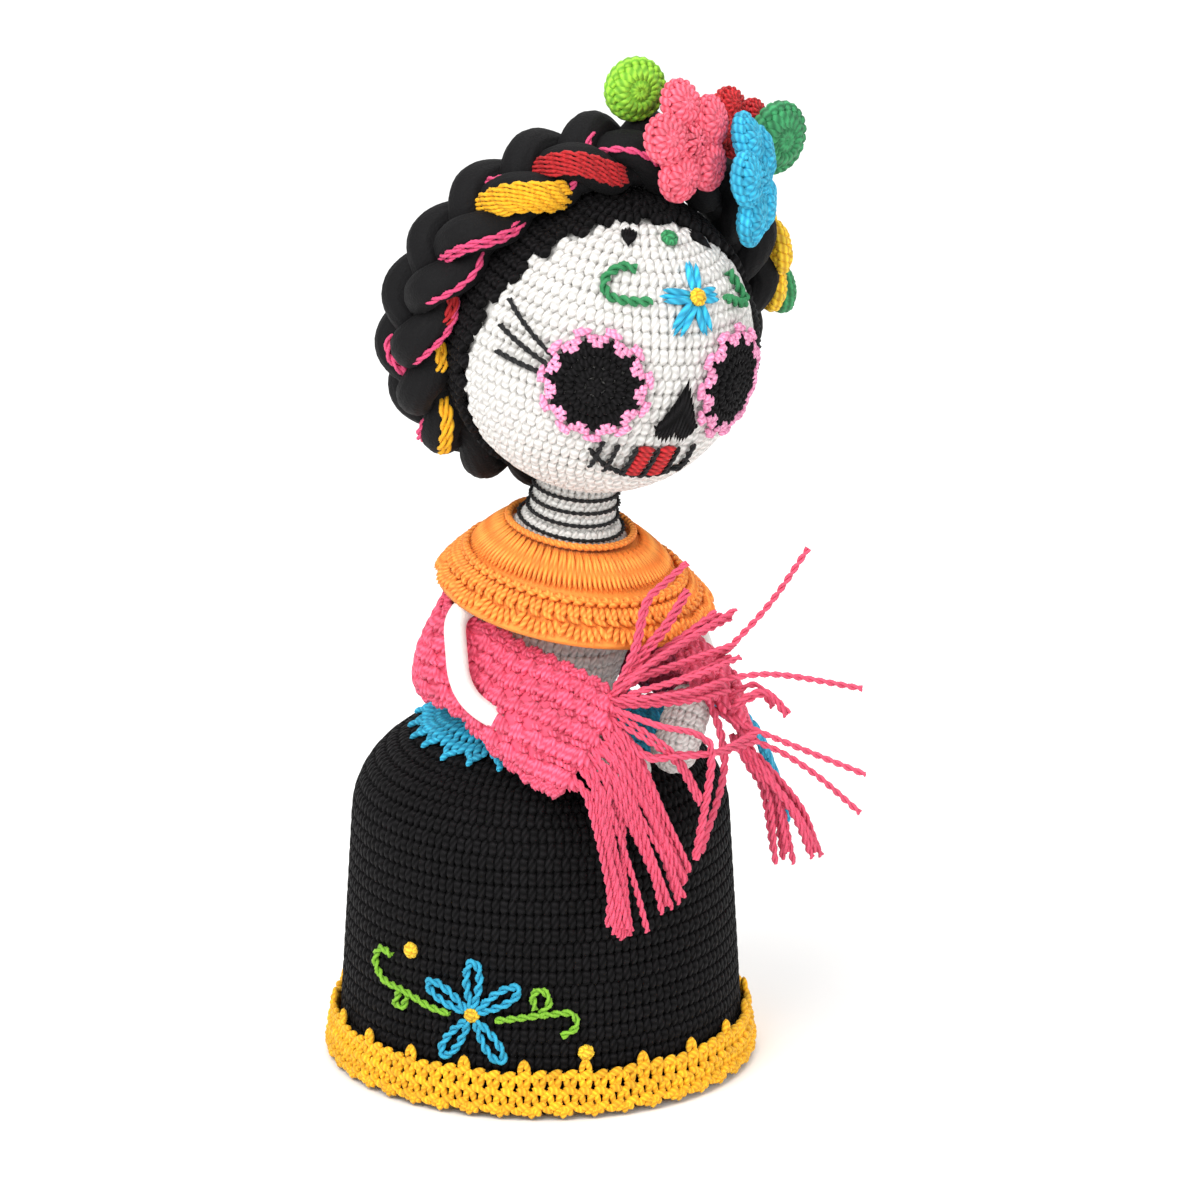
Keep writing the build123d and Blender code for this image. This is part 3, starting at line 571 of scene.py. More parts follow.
for i in range(HEM_POSTS):
    a = 2 * math.pi * i / HEM_POSTS
    step = 2 * math.pi / HEM_POSTS
    wobble = 0.25 * math.sin(5.3 * i)
    for lean in (-0.22, 0.2):
        hem_place(a + lean * step, 7.5 + wobble, 1, lean, (1.45, 4.4, 1.5))
        hem_place(a + (0.5 + lean) * step, 4.4 + wobble, 1, -lean, (1.45, 3.8, 1.5), 0.1)
    for z, lean in ((9.3, 0.45), (6.0, -0.4), (2.9, 0.4)):
        hem_place(a, z + wobble, lean, 1, (1.75, 3.3, 1.7), 0.35)
        hem_place(a + step * 0.5, z - 0.7 + wobble, -lean, 1, (1.6, 3.1, 1.6), 0.2)
for i in range(HEM_POSTS // 4):
    a = 2 * math.pi * (i + 0.5) / (HEM_POSTS // 4)
    for lean, shift in ((0.34, -0.014), (-0.34, 0.014)):
        hem_place(a + shift, 10.9, 1, lean, (1.3, 3.4, 1.3), 0.1)
for i in range(HEM_POSTS // 2):
    a = 2 * math.pi * (i + 0.25) / (HEM_POSTS // 2)
    for turn, drop in ((-0.8, 0), (0, -0.35), (0.8, 0)):
        hem_place(a + turn * 0.03, 2.1 + drop, 1, -turn, (1.8, 2.7, 1.6), 0.25)
hem = lay_stitches("lace_hem", hem_places, MUSTARD)
dress(hem, "doll_body", "mustard_yarn", "hem_trim")

# ------------------------------------------------------------------ waist frill and sash
# A sky-blue crocheted sash round the waist: a frill of radiating stitches with small points,
# and one loose end that falls over her left hip.
BLUE = yarn("sky_blue_cotton", (0.03, 0.47, 0.70), (0.012, 0.25, 0.43), gloss=0.45, sheen=0.1, depth=0.25)
FRILL_SLOPE = SHOULDER_DROP / (SKIRT_R - SKIRT_TAPER - WAIST_R)
FRILL_FACING = unit((FRILL_SLOPE, 0, 1))
FRILL_DOWN = unit((1, 0, -FRILL_SLOPE))
frill_places = []


def frill_place(angle, radius, turn, size, lift=0.0):
    """One strand on the sloping frill, turned aside from pointing straight outwards."""
    spin = np.array(Matrix.Rotation(angle, 3, "Z"))
    z = SKIRT_H + 1.2 - FRILL_SLOPE * (radius - WAIST_R) + lift
    along = unit(FRILL_DOWN + np.array([0, turn, 0]))
    frill_places.append((spin @ np.array([radius, 0, z]), spin @ FRILL_FACING, spin @ along, size))


for ring, (radius, length, count) in enumerate(((16.6, 4.6, 62), (19.6, 4.4, 70), (22.4, 4.0, 80))):
    for i in range(count):
        angle = 2 * math.pi * (i + 0.5 * ring) / count
        frill_place(angle, radius, 0.2 * math.sin(7 * i), (1.65, length, 1.4), 0.35 * math.sin(9 * angle))
for i in range(24):
    for turn, size in ((-0.9, 3.2), (0.0, 2.6), (0.9, 3.2)):
        angle = 2 * math.pi * (i + 0.5) / 24
        frill_place(angle - turn * 0.042, 24.2 + (1.3 if turn == 0 else 0), turn, (1.35, size, 1.3),
                    0.35 * math.sin(9 * angle))
frill = lay_stitches("waist_frill_stitches", frill_places, BLUE)
dress(frill, "doll_body", "blue_yarn", "waist_frill")


def spline(points, step=1.0):
    """Smooth line through points, evenly spaced, in millimetres."""
    control = [2 * np.array(points[0]) - np.array(points[1])] + [np.array(p, float) for p in points]
    control.append(2 * control[-1] - control[-2])
    line = []
    for i in range(1, len(control) - 2):
        p0, p1, p2, p3 = control[i - 1:i + 3]
        count = max(2, int(np.linalg.norm(p2 - p1) / step))
        for k in range(count):
            t = k / count
            line.append(0.5 * (2 * p1 + (p2 - p0) * t + (2 * p0 - 5 * p1 + 4 * p2 - p3) * t * t
                               + (3 * p1 - p0 - 3 * p2 + p3) * t ** 3))
    line.append(control[-2])
    return np.array(line)


def ribbed_strip(line, sideways, width, rows, size, wave=0.0):
    """Stitches in lengthwise rows over a flat strip that follows a line."""
    places = []
    for i in range(1, len(line) - 1):
        along = unit(line[i + 1] - line[i - 1])
        side = unit(sideways - along * (sideways @ along))
        facing = np.cross(side, along)
        round_end = math.sqrt(max(0.15, 1 - max(0, (i / len(line) - 0.86) / 0.16) ** 2))
        for r in range(rows):
            across = ((r + 0.5) / rows - 0.5) * width * round_end
            lift = wave * math.sin(i * 0.8 + r)
            places.append((line[i] + side * across + facing * lift, facing, along, size))
            places.append((line[i] + side * across - facing * (0.55 - lift), -facing, along, size))
    return places


SASH_ANGLE = math.radians(-30)
sash_out = np.array([math.cos(SASH_ANGLE), math.sin(SASH_ANGLE), 0])
sash_side = np.array([-math.sin(SASH_ANGLE), math.cos(SASH_ANGLE), 0])
up = np.array([0, 0, 1.0])
sash_line = spline([sash_out * r + up * z for r,
                    z in ((22, 71.4), (31.5, 72.0), (41, 67.5), (46.4, 57), (49, 46.5))], 2.4)
sash = lay_stitches("sash_end", ribbed_strip(sash_line, sash_side, 8.6, 6, (1.65, 3.5, 1.2), 0.12), BLUE)
dress(sash, "doll_body", "blue_yarn", "sash_tail")

# ------------------------------------------------------------------ torso and neck
# The body under the blouse is white single crochet, stuffed firm and leaning a little to her
# left; the neck is a narrower tube over a stick, wound with black thread like neck bones.
WHITE = yarn("white_acrylic", (0.78, 0.765, 0.735), (0.54, 0.525, 0.50), gloss=0.3, sheen=0.25, uneven=0.08,
             depth=0.3)
LEAN = math.radians(6.3)
SPINE_Z = unit((math.sin(LEAN), -math.sin(LEAN), math.sqrt(1 - 2 * math.sin(LEAN) ** 2)))
SPINE_X = unit((SPINE_Z[2], 0, -SPINE_Z[0]))
SPINE_Y = np.cross(SPINE_Z, SPINE_X)
SPINE_FOOT = np.array([0, 0, SKIRT_H])
SPINE = (SPINE_FOOT, SPINE_X, SPINE_Y, SPINE_Z)


def spine_point(x, y, s):
    """A point beside the spine, s along it from the waist."""
    return SPINE_FOOT + SPINE_X * x + SPINE_Y * y + SPINE_Z * s


TORSO_H, TORSO_R, TORSO_TOP = 36.0, 15.5, 11.5
torso_outline = round_profile(
    [(12.5, 0.6), (TORSO_R, TORSO_H * 0.45), (TORSO_R, TORSO_H * 0.72), (TORSO_TOP, TORSO_H), (3.5, TORSO_H)],
    [30.0, 6.0, 1.0],
)
torso_ground = torso_outline - np.array([0.7, 0.0])
torso = join(
    "torso",
    revolve_mesh("torso_ground", torso_ground, SPINE, 48, WHITE),
    lay_stitches("torso_stitches", round_stitches(torso_outline, 3.0, 3.3, SPINE, 1.5, -0.4,
                                                  keep=lambda p: p[2] > SKIRT_H + 0.8), WHITE, V_STITCH),
)
dress(torso, "doll_body", "white_yarn", "torso_shell", "torso_stuffing")

NECK_S, NECK_TOP_S = 36.4, 49.6
NECK_R, NECK_FLARE, NECK_FLARE_H = 7.7, 11.0, 5.4
neck_outline = np.array([(NECK_FLARE + 0.4, NECK_S + 1.4), (NECK_R + 0.9, NECK_S + NECK_FLARE_H),
                         (NECK_R, NECK_TOP_S),
                         (NECK_R * 0.86, NECK_TOP_S + 3.9), (NECK_R * 0.5, NECK_TOP_S + 6.5)])
neck = join(
    "neck",
    revolve_mesh("neck_ground", neck_outline - np.array([0.8, 0.0]), SPINE, 40, WHITE),
    lay_stitches("neck_stitches", round_stitches(neck_outline, 2.7, 2.9, SPINE, 1.3, -0.45), WHITE, V_STITCH),
)
dress(neck, "neck", "white_yarn", "neck_tube", "neck_stick")


# ------------------------------------------------------------------ cord maker and neck rings
# Black crochet thread wound four times round the neck. Like every cord on the doll it is laid
# from two twisted plies.
def cord_tree():
    """Sweeps two twisted plies along the curves it is given."""
    tree = bpy.data.node_groups.new("twist_cords", "GeometryNodeTree")
    tree.interface.new_socket("Lines", in_out="INPUT", socket_type="NodeSocketGeometry")
    tree.interface.new_socket("Radius", in_out="INPUT", socket_type="NodeSocketFloat")
    tree.interface.new_socket("Twist", in_out="INPUT", socket_type="NodeSocketFloat")
    tree.interface.new_socket("Yarn", in_out="INPUT", socket_type="NodeSocketMaterial")
    tree.interface.new_socket("Cords", in_out="OUTPUT", socket_type="NodeSocketGeometry")
    nodes, wire = tree.nodes, tree.links.new
    inside = nodes.new("NodeGroupInput")
    out = nodes.new("NodeGroupOutput")
    length = nodes.new("GeometryNodeSplineParameter")
    spin = nodes.new("ShaderNodeMath")
    spin.operation = "MULTIPLY"
    wire(length.outputs["Length"], spin.inputs[0])
    wire(inside.outputs["Twist"], spin.inputs[1])
    tilt = nodes.new("GeometryNodeSetCurveTilt")
    wire(inside.outputs["Lines"], tilt.inputs["Curve"])
    wire(spin.outputs[0], tilt.inputs["Tilt"])
    circle = nodes.new("GeometryNodeCurvePrimitiveCircle")
    circle.inputs["Resolution"].default_value = 6
    wire(inside.outputs["Radius"], circle.inputs["Radius"])
    apart = nodes.new("ShaderNodeCombineXYZ")
    half = nodes.new("ShaderNodeMath")
    half.operation = "MULTIPLY"
    half.inputs[1].default_value = 0.85
    wire(inside.outputs["Radius"], half.inputs[0])
    wire(half.outputs[0], apart.inputs["X"])
    flip = nodes.new("ShaderNodeVectorMath")
    flip.operation = "SCALE"
    flip.inputs["Scale"].default_value = -1.0
    wire(apart.outputs[0], flip.inputs[0])
    both = nodes.new("GeometryNodeJoinGeometry")
    for offset in (apart.outputs[0], flip.outputs[0]):
        shift = nodes.new("GeometryNodeTransform")
        wire(circle.outputs["Curve"], shift.inputs["Geometry"])
        wire(offset, shift.inputs["Translation"])
        wire(shift.outputs["Geometry"], both.inputs["Geometry"])
    sweep = nodes.new("GeometryNodeCurveToMesh")
    sweep.inputs["Fill Caps"].default_value = True
    wire(tilt.outputs["Curve"], sweep.inputs["Curve"])
    wire(both.outputs["Geometry"], sweep.inputs["Profile Curve"])
    paint = nodes.new("GeometryNodeSetMaterial")
    wire(sweep.outputs["Mesh"], paint.inputs["Geometry"])
    wire(inside.outputs["Yarn"], paint.inputs["Material"])
    wire(paint.outputs["Geometry"], out.inputs["Cords"])
    return tree


TWIST_CORDS = cord_tree()


def twist_cords(name, lines, material, radius=0.42, twist=1.6, closed=False):
    """Two-ply cords along lines of points in millimetres; radius is that of one ply."""
    data = bpy.data.curves.new(name + "_lines", "CURVE")
    data.dimensions = "3D"
    data.twist_mode = "MINIMUM"
    for line in lines:
        run = data.splines.new("POLY")
        run.points.add(len(line) - 1)
        run.points.foreach_set("co", np.hstack([np.asarray(line) * MM, np.ones((len(line), 1))]).ravel())
        run.use_cyclic_u = closed
    holder = link(bpy.data.objects.new(name + "_lines", data))
    values = {"Radius": radius * MM, "Twist": twist / MM, "Yarn": material}
    obj = apply_nodes(holder, name, TWIST_CORDS, values)
    obj.data.polygons.foreach_set("use_smooth", [True] * len(obj.data.polygons))
    return obj


THREAD_BLACK = yarn("black_thread", (0.012, 0.012, 0.014), (0.003, 0.003, 0.003), gloss=0.4, sheen=0.05,
                    twist=0.0)
ring_lines = []
for i in range(4):
    s = 39.8 + 7.2 * i / 3
    radius = np.interp(s, neck_outline[:3, 1], neck_outline[:3, 0]) + 0.55
    turn = np.linspace(0, 2 * math.pi, 72, endpoint=False)
    ring_lines.append([spine_point(radius * math.cos(a), radius * math.sin(a), s + 0.25 * math.sin(a + i))
                       for a in turn])
rings = twist_cords("neck_rings_thread", ring_lines, THREAD_BLACK, 0.28, 2.2, closed=True)
dress(rings, "neck", "black_yarn", "neck_rings")

# ------------------------------------------------------------------ yoke of the blouse
# An orange mercerised-cotton yoke, crocheted from the neck outwards: a ring of long posts, a
# raised chain round their ends and a shell edging that lies over the shoulders.
ORANGE = yarn("orange_cotton", (1.0, 0.36, 0.05), (0.82, 0.19, 0.015), gloss=0.6, sheen=0.05, uneven=0.2,
              depth=0.25)
YOKE_TOP, YOKE_RIM = 39.0, 26.0
YOKE_OPEN, YOKE_R, YOKE_SHIFT = 12.2, 27.5, 2.2


def yoke_place(share, turn, lift=0.0):
    """A place on the sloping yoke: share 0 at the opening and 1 at the rim."""
    radius = YOKE_OPEN + (YOKE_R - YOKE_OPEN) * share
    x = radius * math.cos(turn) + YOKE_SHIFT * share
    y = radius * math.sin(turn) - YOKE_SHIFT * share
    drop = (YOKE_TOP - YOKE_RIM) * share ** 1.15
    return spine_point(x, y, YOKE_TOP - drop + lift)


def yoke_frame(share, turn):
    """Facing and downhill direction of the yoke at a place."""
    down = unit(yoke_place(share + 0.02, turn) - yoke_place(share - 0.02, turn))
    round_dir = unit(yoke_place(share, turn + 0.02) - yoke_place(share, turn - 0.02))
    return unit(np.cross(down, round_dir)), down, round_dir


yoke_points = [yoke_place(share, turn, -0.9) for share in np.linspace(0, 1, 9)
               for turn in np.linspace(0, 2 * math.pi, 72, endpoint=False)]
yoke_points += [yoke_place(share, turn, -1.9) for share in np.linspace(1, 0, 9)
                for turn in np.linspace(0, 2 * math.pi, 72, endpoint=False)]
yoke_faces = grid_faces(18, 72) + [(17 * 72 + c, 17 * 72 + (c + 1) % 72, (c + 1) % 72, c) for c in range(72)]
yoke_ground = mesh_object("yoke_ground", yoke_points, [f[::-1] for f in yoke_faces])
yoke_ground.data.materials.append(ORANGE)
yoke_places = []


def yoke_stitch(share, turn, size, lean=0.0, lift=0.0, across=False):
    facing, down, round_dir = yoke_frame(share, turn)
    along = round_dir + down * lean if across else down + round_dir * lean
    yoke_places.append((yoke_place(share, turn, lift), facing, unit(along), size))


POSTS = 58
for i in range(POSTS):
    turn = 2 * math.pi * i / POSTS
    half = math.pi / POSTS
    for side in (-0.45, 0.45):
        yoke_stitch(0.31, turn + side * half, (1.15, 9.6, 1.3), side * 0.06)
        yoke_stitch(0.76, turn + side * half, (1.4, 3.6, 1.4), -side * 0.25, 0.15)
    yoke_stitch(0.02, turn, (1.3, 1.9, 1.5), 0.5, 0.2, True)
    yoke_stitch(0.03, turn + half, (1.3, 1.9, 1.5), -0.5, 0.2, True)
    yoke_stitch(0.62, turn, (1.4, 2.9, 1.5), 0.55, 0.25, True)
    yoke_stitch(0.65, turn + half, (1.4, 2.9, 1.5), -0.55, 0.25, True)
    yoke_stitch(0.84, turn, (1.3, 3.2, 1.4), 0.5, 0.2, True)
SCALLOPS = 18
for i in range(SCALLOPS):
    middle = 2 * math.pi * i / SCALLOPS
    for k in range(-3, 4):
        spread = k / 3
        reach = 0.93 + 0.045 * math.cos(spread * 1.5)
        yoke_stitch(reach, middle + spread * math.pi / SCALLOPS * 0.86, (1.35, 4.0, 1.3), spread * 0.5)
yoke = join("blouse_yoke", yoke_ground, lay_stitches("yoke_stitches", yoke_places, ORANGE))
dress(yoke, "doll_body", "orange_yarn", "blouse_collar")

# ------------------------------------------------------------------ head
# A firm stuffed ball of white single crochet. From the slanting hairline back it is worked in
# black, which makes the hair under the plait. The face looks a little to the doll's right.
HEAD_C = spine_point(0, 0, 78.5)
HEAD_R = 30.0
turn_z = Matrix.Rotation(math.radians(-5.28), 3, "Z")
face_axes = np.array(turn_z @ Matrix.Rotation(math.radians(2.45), 3,
                                              "Y") @ Matrix.Rotation(math.radians(0.31), 3, "X"))
spine_axes = np.array([SPINE_X, SPINE_Y, SPINE_Z])
FACE_X, FACE_Y, FACE_Z = face_axes.T @ spine_axes
FACE = (HEAD_C, FACE_X, FACE_Y, FACE_Z)


def face_vector(x, y, z):
    return FACE_X * x + FACE_Y * y + FACE_Z * z


def toward(lon, lat):
    """Direction out of the head: degrees to her left of the nose and above it."""
    lon, lat = math.radians(lon), math.radians(lat)
    return face_vector(math.cos(lat) * math.sin(lon), -math.cos(lat) * math.cos(lon), math.sin(lat))


HAIRLINE = unit(face_vector(-0.05, -0.98, -0.2))


def in_hair(point):
    return (point - HEAD_C) @ HAIRLINE < 2.5


ball = [(HEAD_R * math.sin(a), -HEAD_R * math.cos(a)) for a in np.linspace(0.30, math.pi - 0.04, 34)]
ball_ground = [(r * 0.97, z * 0.97) for r, z in ball]
skull_places = round_stitches(np.array(ball), 3.15, 3.75, FACE, 2.3, -0.55, keep=lambda p: not in_hair(p))
skull = join(
    "head",
    revolve_mesh("head_ground", ball_ground, FACE, 64, WHITE),
    lay_stitches("face_stitches", skull_places, WHITE, V_STITCH),
)
dress(skull, "head", "white_yarn", "head_shell", "head_stuffing")
HAIR_R = HEAD_R + 1.0
hair_ball = np.array([(HAIR_R * math.sin(a), -HAIR_R * math.cos(a))
                      for a in np.linspace(0.36, math.pi - 0.04, 34)])
hair = lay_stitches("hair_stitches", round_stitches(hair_ball, 2.6, 2.9, FACE, 2.6, -0.3, keep=in_hair),
                    BLACK, V_STITCH)
dress(hair, "head", "black_yarn", "hair_cap")
lock_places = []
for lon, lat in ((-27, 66), (44, 62)):
    for k in range(-2, 3):
        out = toward(lon + k * 4.5, lat + 2.5)
        tip = toward(lon, lat - 8.5)
        lock_places.append((HEAD_C + unit(out * 1.1 + tip) * (HEAD_R + 0.6), out, unit(out - tip),
                            (1.1, 6.2 - abs(k), 1.2)))
locks = lay_stitches("hair_locks", lock_places, BLACK)
dress(locks, "head", "black_yarn", "hair_tufts")


def on_head(lon, lat, x=0.0, y=0.0, out=0.5):
    """A place on the head, x and y millimetres across and up from a direction."""
    axis = toward(lon, lat)
    across = toward(lon + 90, 0)
    rise = np.cross(axis, across)
    facing = unit(axis * HEAD_R + across * x + rise * y)
    return HEAD_C + facing * (HEAD_R + out), facing


def head_stitch(a, b, width, out):
    """A stitch between two places on the head, each (lon, lat, x, y)."""
    pa, fa = on_head(*a, out=out)
    pb, fb = on_head(*b, out=out)
    run = pb - pa
    facing = unit(fa + fb)
    middle = HEAD_C + facing * (HEAD_R + out)
    return (middle, facing, unit(run), (width, np.linalg.norm(run) * 1.12, width))


# ------------------------------------------------------------------ eyes, nose and mouth
# Round patches of black yarn worked in a spiral, each in a ring of pale pink scallops; a satin
# stitched nose; and a mouth of black thread with bars for teeth and a red block of lips.
PINK_RING = yarn("pale_pink_cotton", (0.86, 0.36, 0.55), (0.62, 0.17, 0.33), gloss=0.35, sheen=0.2,
                 depth=0.25)
for side in (-1, 1):
    eye_black, eye_pink = [], []
    lon, lat = side * 31.0, 2.4 if side < 0 else 3.5
    for ring, (radius, count) in enumerate(((1.0, 5), (3.0, 14), (5.1, 22), (7.2, 30), (8.6, 34))):
        for i in range(count):
            a = 2 * math.pi * (i + 0.3 * ring) / count
            place, facing = on_head(lon, lat, radius * math.cos(a), radius * math.sin(a), 1.25)
            ahead, _ = on_head(lon, lat, radius * math.cos(a + 0.1), radius * math.sin(a + 0.1), 1.25)
            inward, _ = on_head(lon, lat, (radius - 1) * math.cos(a), (radius - 1) * math.sin(a), 1.25)
            lean = unit(place - inward) * 0.8 + unit(ahead - place) * 0.6
            eye_black.append((place, facing, unit(lean), (1.7, 3.0, 1.5)))
    for i in range(11):
        middle = 2 * math.pi * i / 11
        for k in range(5):
            a = middle + (k - 2) * 0.114
            reach = 9.9 - 1.5 * math.cos(math.pi * (k - 2) / 2.5) + 0.2 * math.sin(5 * i)
            place, facing = on_head(lon, lat, reach * math.cos(a), reach * math.sin(a), 1.5)
            ahead, _ = on_head(lon, lat, reach * math.cos(a + 0.1), reach * math.sin(a + 0.1), 1.5)
            inward, _ = on_head(lon, lat, (reach - 1) * math.cos(a), (reach - 1) * math.sin(a), 1.5)
            for turn in (0.9, -0.7):
                along = unit(ahead - place) + unit(place
                                                   - inward) * turn * math.sin(math.pi * (k - 2) / 2.5 + 0.6)
                eye_pink.append((place, facing, unit(along), (1.35, 2.9, 1.6)))
    word = "right" if side < 0 else "left"
    patch = lay_stitches("eye_" + word, eye_black, BLACK)
    dress(patch, "head", "black_yarn", "eye_patch_" + word)
    edge = lay_stitches("eye_edge_" + word, eye_pink, PINK_RING)
    dress(edge, "head", "rose_yarn", "eye_ring_" + word)
    lashes = []
    for start, end in (((75, 23), (46, 8.5)), ((74, 13), (47, 5.5)), ((72, 3.5), (48, 2.5))):
        share = np.linspace(0, 1, 14)
        lashes.append([HEAD_C + toward(side * (start[0] + (end[0] - start[0]) * t),
                                       start[1] + (end[1] - start[1]) * t) * (HEAD_R + 1.0
                                                                              + 0.5 * t) for t in share])
    lash = twist_cords("lashes_thread_" + word, lashes, THREAD_BLACK, 0.38, 1.6)
    dress(lash, "head", "black_yarn", "lashes_" + word)

nose_places = []
for i in range(13):
    x = -4.8 + 9.6 * i / 12
    top = 7.0 - abs(x) * 2.1
    low = -5.0 - 1.2 * math.sin(min(abs(x), 4.2) / 4.2 * math.pi) + (1.6 if abs(x) > 4 else 0)
    nose_places.append(head_stitch((4, -5, x * 0.92, top), (4, -5, x, low), 1.25, 1.2))
nose = lay_stitches("nose", nose_places, BLACK)
dress(nose, "head", "black_yarn", "nose_patch")


def smile(x):
    """Height of the smile line beside the middle of the mouth."""
    return 17.8 - math.sqrt(21.5 ** 2 - x * x)


mouth_lines = [[on_head(0, -30, x, smile(x), 1.0)[0] for x in np.linspace(-14.0, 10.4, 46)]]
for x in (-12.0, -8.6, -4.6, 0, 4.6, 8.6):
    mouth_lines.append([on_head(0, -30, x * (1 + 0.006 * y), y, 1.15)[0] for y in np.linspace(-3.4, 4.6, 12)])
mouth = twist_cords("mouth_line", mouth_lines, THREAD_BLACK, 0.36, 1.6)
dress(mouth, "head", "black_yarn", "mouth_thread")
RED = yarn("red_cotton", (0.62, 0.012, 0.018), (0.30, 0.004, 0.006), gloss=0.45, sheen=0.1)
lip_places = []
for side in (-1, 1):
    for i in range(7):
        y = -2.9 + 1.2 * i
        lip_places.append(head_stitch((0, -30, side * 0.5, y), (0, -30, side * 4.3, y + 0.2), 1.35, 0.95))
lips = lay_stitches("lips", lip_places, RED)
dress(lips, "head", "red_yarn", "lip_thread")

# ------------------------------------------------------------------ embroidery
# Lazy-daisy flowers, stems and knots in cotton: on the forehead in full petals, on the skirt in
# open loops that show the black between their two sides.
YELLOW = yarn("yellow_cotton", (0.93, 0.62, 0.02), (0.62, 0.32, 0.01), gloss=0.5, sheen=0.1, depth=0.25)
LIME = yarn("lime_cotton", (0.30, 0.62, 0.035), (0.12, 0.34, 0.012), gloss=0.5, sheen=0.1, depth=0.25)
GREEN = yarn("leaf_cotton", (0.03, 0.30, 0.10), (0.008, 0.13, 0.04), gloss=0.55, sheen=0.1, depth=0.25)
petal_places = []
for tip in ((16, 53), (-9, 39), (-3, 24), (14, 23.5), (27, 38)):
    hub, _ = on_head(11, 38, out=1.1)
    end, facing = on_head(*tip, out=1.1)
    across = np.cross(facing, unit(end - hub))
    for k in (-1, 0, 1):
        place = (hub + end) / 2 + across * k * 0.95
        place = HEAD_C + unit(place - HEAD_C) * (HEAD_R + 1.0 - (0.5 if k == 0 else 0))
        length = np.linalg.norm(end - hub) * (1.0 if k == 0 else 0.86)
        petal_places.append((place, unit(place - HEAD_C), unit(end - hub + across * k * 0.6),
                             (1.5, length, 1.2)))
forehead = lay_stitches("forehead_flower", petal_places, BLUE)
dress(forehead, "head", "blue_yarn", "forehead_petals")


def knot(place, facing, radius, turns=7):
    """Short strands wound into a button."""
    facing = unit(facing)
    side = unit(np.cross(facing, (0.3, 0.2, 1)))
    rise = np.cross(facing, side)
    made = [(place + facing * 0.5, facing, unit(side + rise), (radius, radius * 1.5, radius * 1.1))]
    for i in range(turns):
        a = 2 * math.pi * i / turns
        out = side * math.cos(a) + rise * math.sin(a)
        round_dir = rise * math.cos(a) - side * math.sin(a)
        made.append((place + out * radius * 0.62, facing, unit(round_dir + out * 0.3),
                     (radius * 0.62, radius * 1.3, radius * 0.9)))
    return made


yellow_knot, yellow_facing = on_head(11, 38, out=1.6)
green_knot, green_facing = on_head(8, 63, out=1.2)
knots = join(
    "forehead_buttons",
    lay_stitches("forehead_middle", knot(yellow_knot, yellow_facing, 1.9), YELLOW),
    lay_stitches("forehead_dot", knot(green_knot, green_facing, 1.9), GREEN),
)
dress(knots, "head", "yellow_yarn", "forehead_knots")
vine_lines = []
for run in ([(-13, 36.5), (-24, 35.6), (-33, 36.5), (-36.5, 42), (-30, 48.5), (-21, 48.5)],
            [(31, 35.5), (41, 31.5), (48, 31), (45, 39.5), (44, 43.5)]):
    vine_lines.append(spline([HEAD_C + toward(lon, lat) * (HEAD_R + 1.2) for lon, lat in run], 0.6))
vine = twist_cords("forehead_stems", vine_lines, GREEN, 0.62, 1.4)
dress(vine, "head", "dark_green_yarn", "forehead_vine")


def on_skirt(angle, z, x=0.0, y=0.0, out=0.6):
    """A place on the skirt at degrees to her left of the front, shifted x round and y up."""
    z = z + y
    radius = SKIRT_R - SKIRT_TAPER * (z - 2) / (SKIRT_H - SHOULDER_DROP - 2)
    a = math.radians(angle) + x / radius
    facing = np.array([math.sin(a), -math.cos(a), 0.05])
    return facing * np.array([1, 1, 0]) * (radius + out) + np.array([0, 0, z]), unit(facing)


loops = []
FLOWER_ANGLE, FLOWER_Z = -54.0, 20.7
for turn in (90, 152, 34, 236, 304):
    t = math.radians(turn)
    line = []
    for a in np.linspace(-math.pi, math.pi, 34):
        reach = 6.4 + 4.6 * math.cos(a)
        side = 1.75 * math.sin(a) * (0.75 + 0.25 * math.cos(a))
        x = reach * math.cos(t) - side * math.sin(t)
        y = reach * math.sin(t) + side * math.cos(t)
        line.append(on_skirt(FLOWER_ANGLE, FLOWER_Z, x, y, 0.8)[0])
    loops.append(line)
daisy = twist_cords("skirt_daisy", loops, BLUE, 0.5, 1.3)
dress(daisy, "doll_body", "blue_yarn", "skirt_flower_petals")
stems = []
for run in ([(-61, 20.2), (-68, 20.9), (-77, 22.6), (-86, 23.4), (-90.5, 26.6), (-88, 29.6), (-83, 29.0)],
            [(-79, 22.2), (-80.5, 19.6), (-77.5, 19.2), (-76, 21.6)],
            [(-47, 20.0), (-40, 20.8), (-32, 21.6), (-25.0, 21.6), (-23.8, 18.8), (-28, 17.0)],
            [(-34.5, 21.4), (-31.5, 24.0), (-33.2, 26.6), (-36.2, 25.8), (-35.6, 22.6)]):
    stems.append(spline([on_skirt(angle, z, out=0.8)[0] for angle, z in run], 0.6))
skirt_stems = twist_cords("skirt_stems", stems, LIME, 0.46, 1.4)
dress(skirt_stems, "doll_body", "light_green_yarn", "skirt_vine")
dots = []
for angle, z in ((FLOWER_ANGLE, FLOWER_Z), (-75, 31.5), (-21, 13.4)):
    dots += knot(*on_skirt(angle, z, out=0.9), 1.7)
skirt_dots = lay_stitches("skirt_dots", dots, YELLOW)
dress(skirt_dots, "doll_body", "yellow_yarn", "skirt_knots")

# ------------------------------------------------------------------ plait round the crown
# Three thick hanks of black yarn plaited into a ring and sewn round the head; each hank shows
# the single yarns it is made of, and the ring passes behind the nape.
BRAID_TILT = math.radians(12)
BRAID_RADIUS, BRAID_BACK = 35.6, 13.0
HALF_WIDTH, HALF_DEPTH = 5.4, 2.9


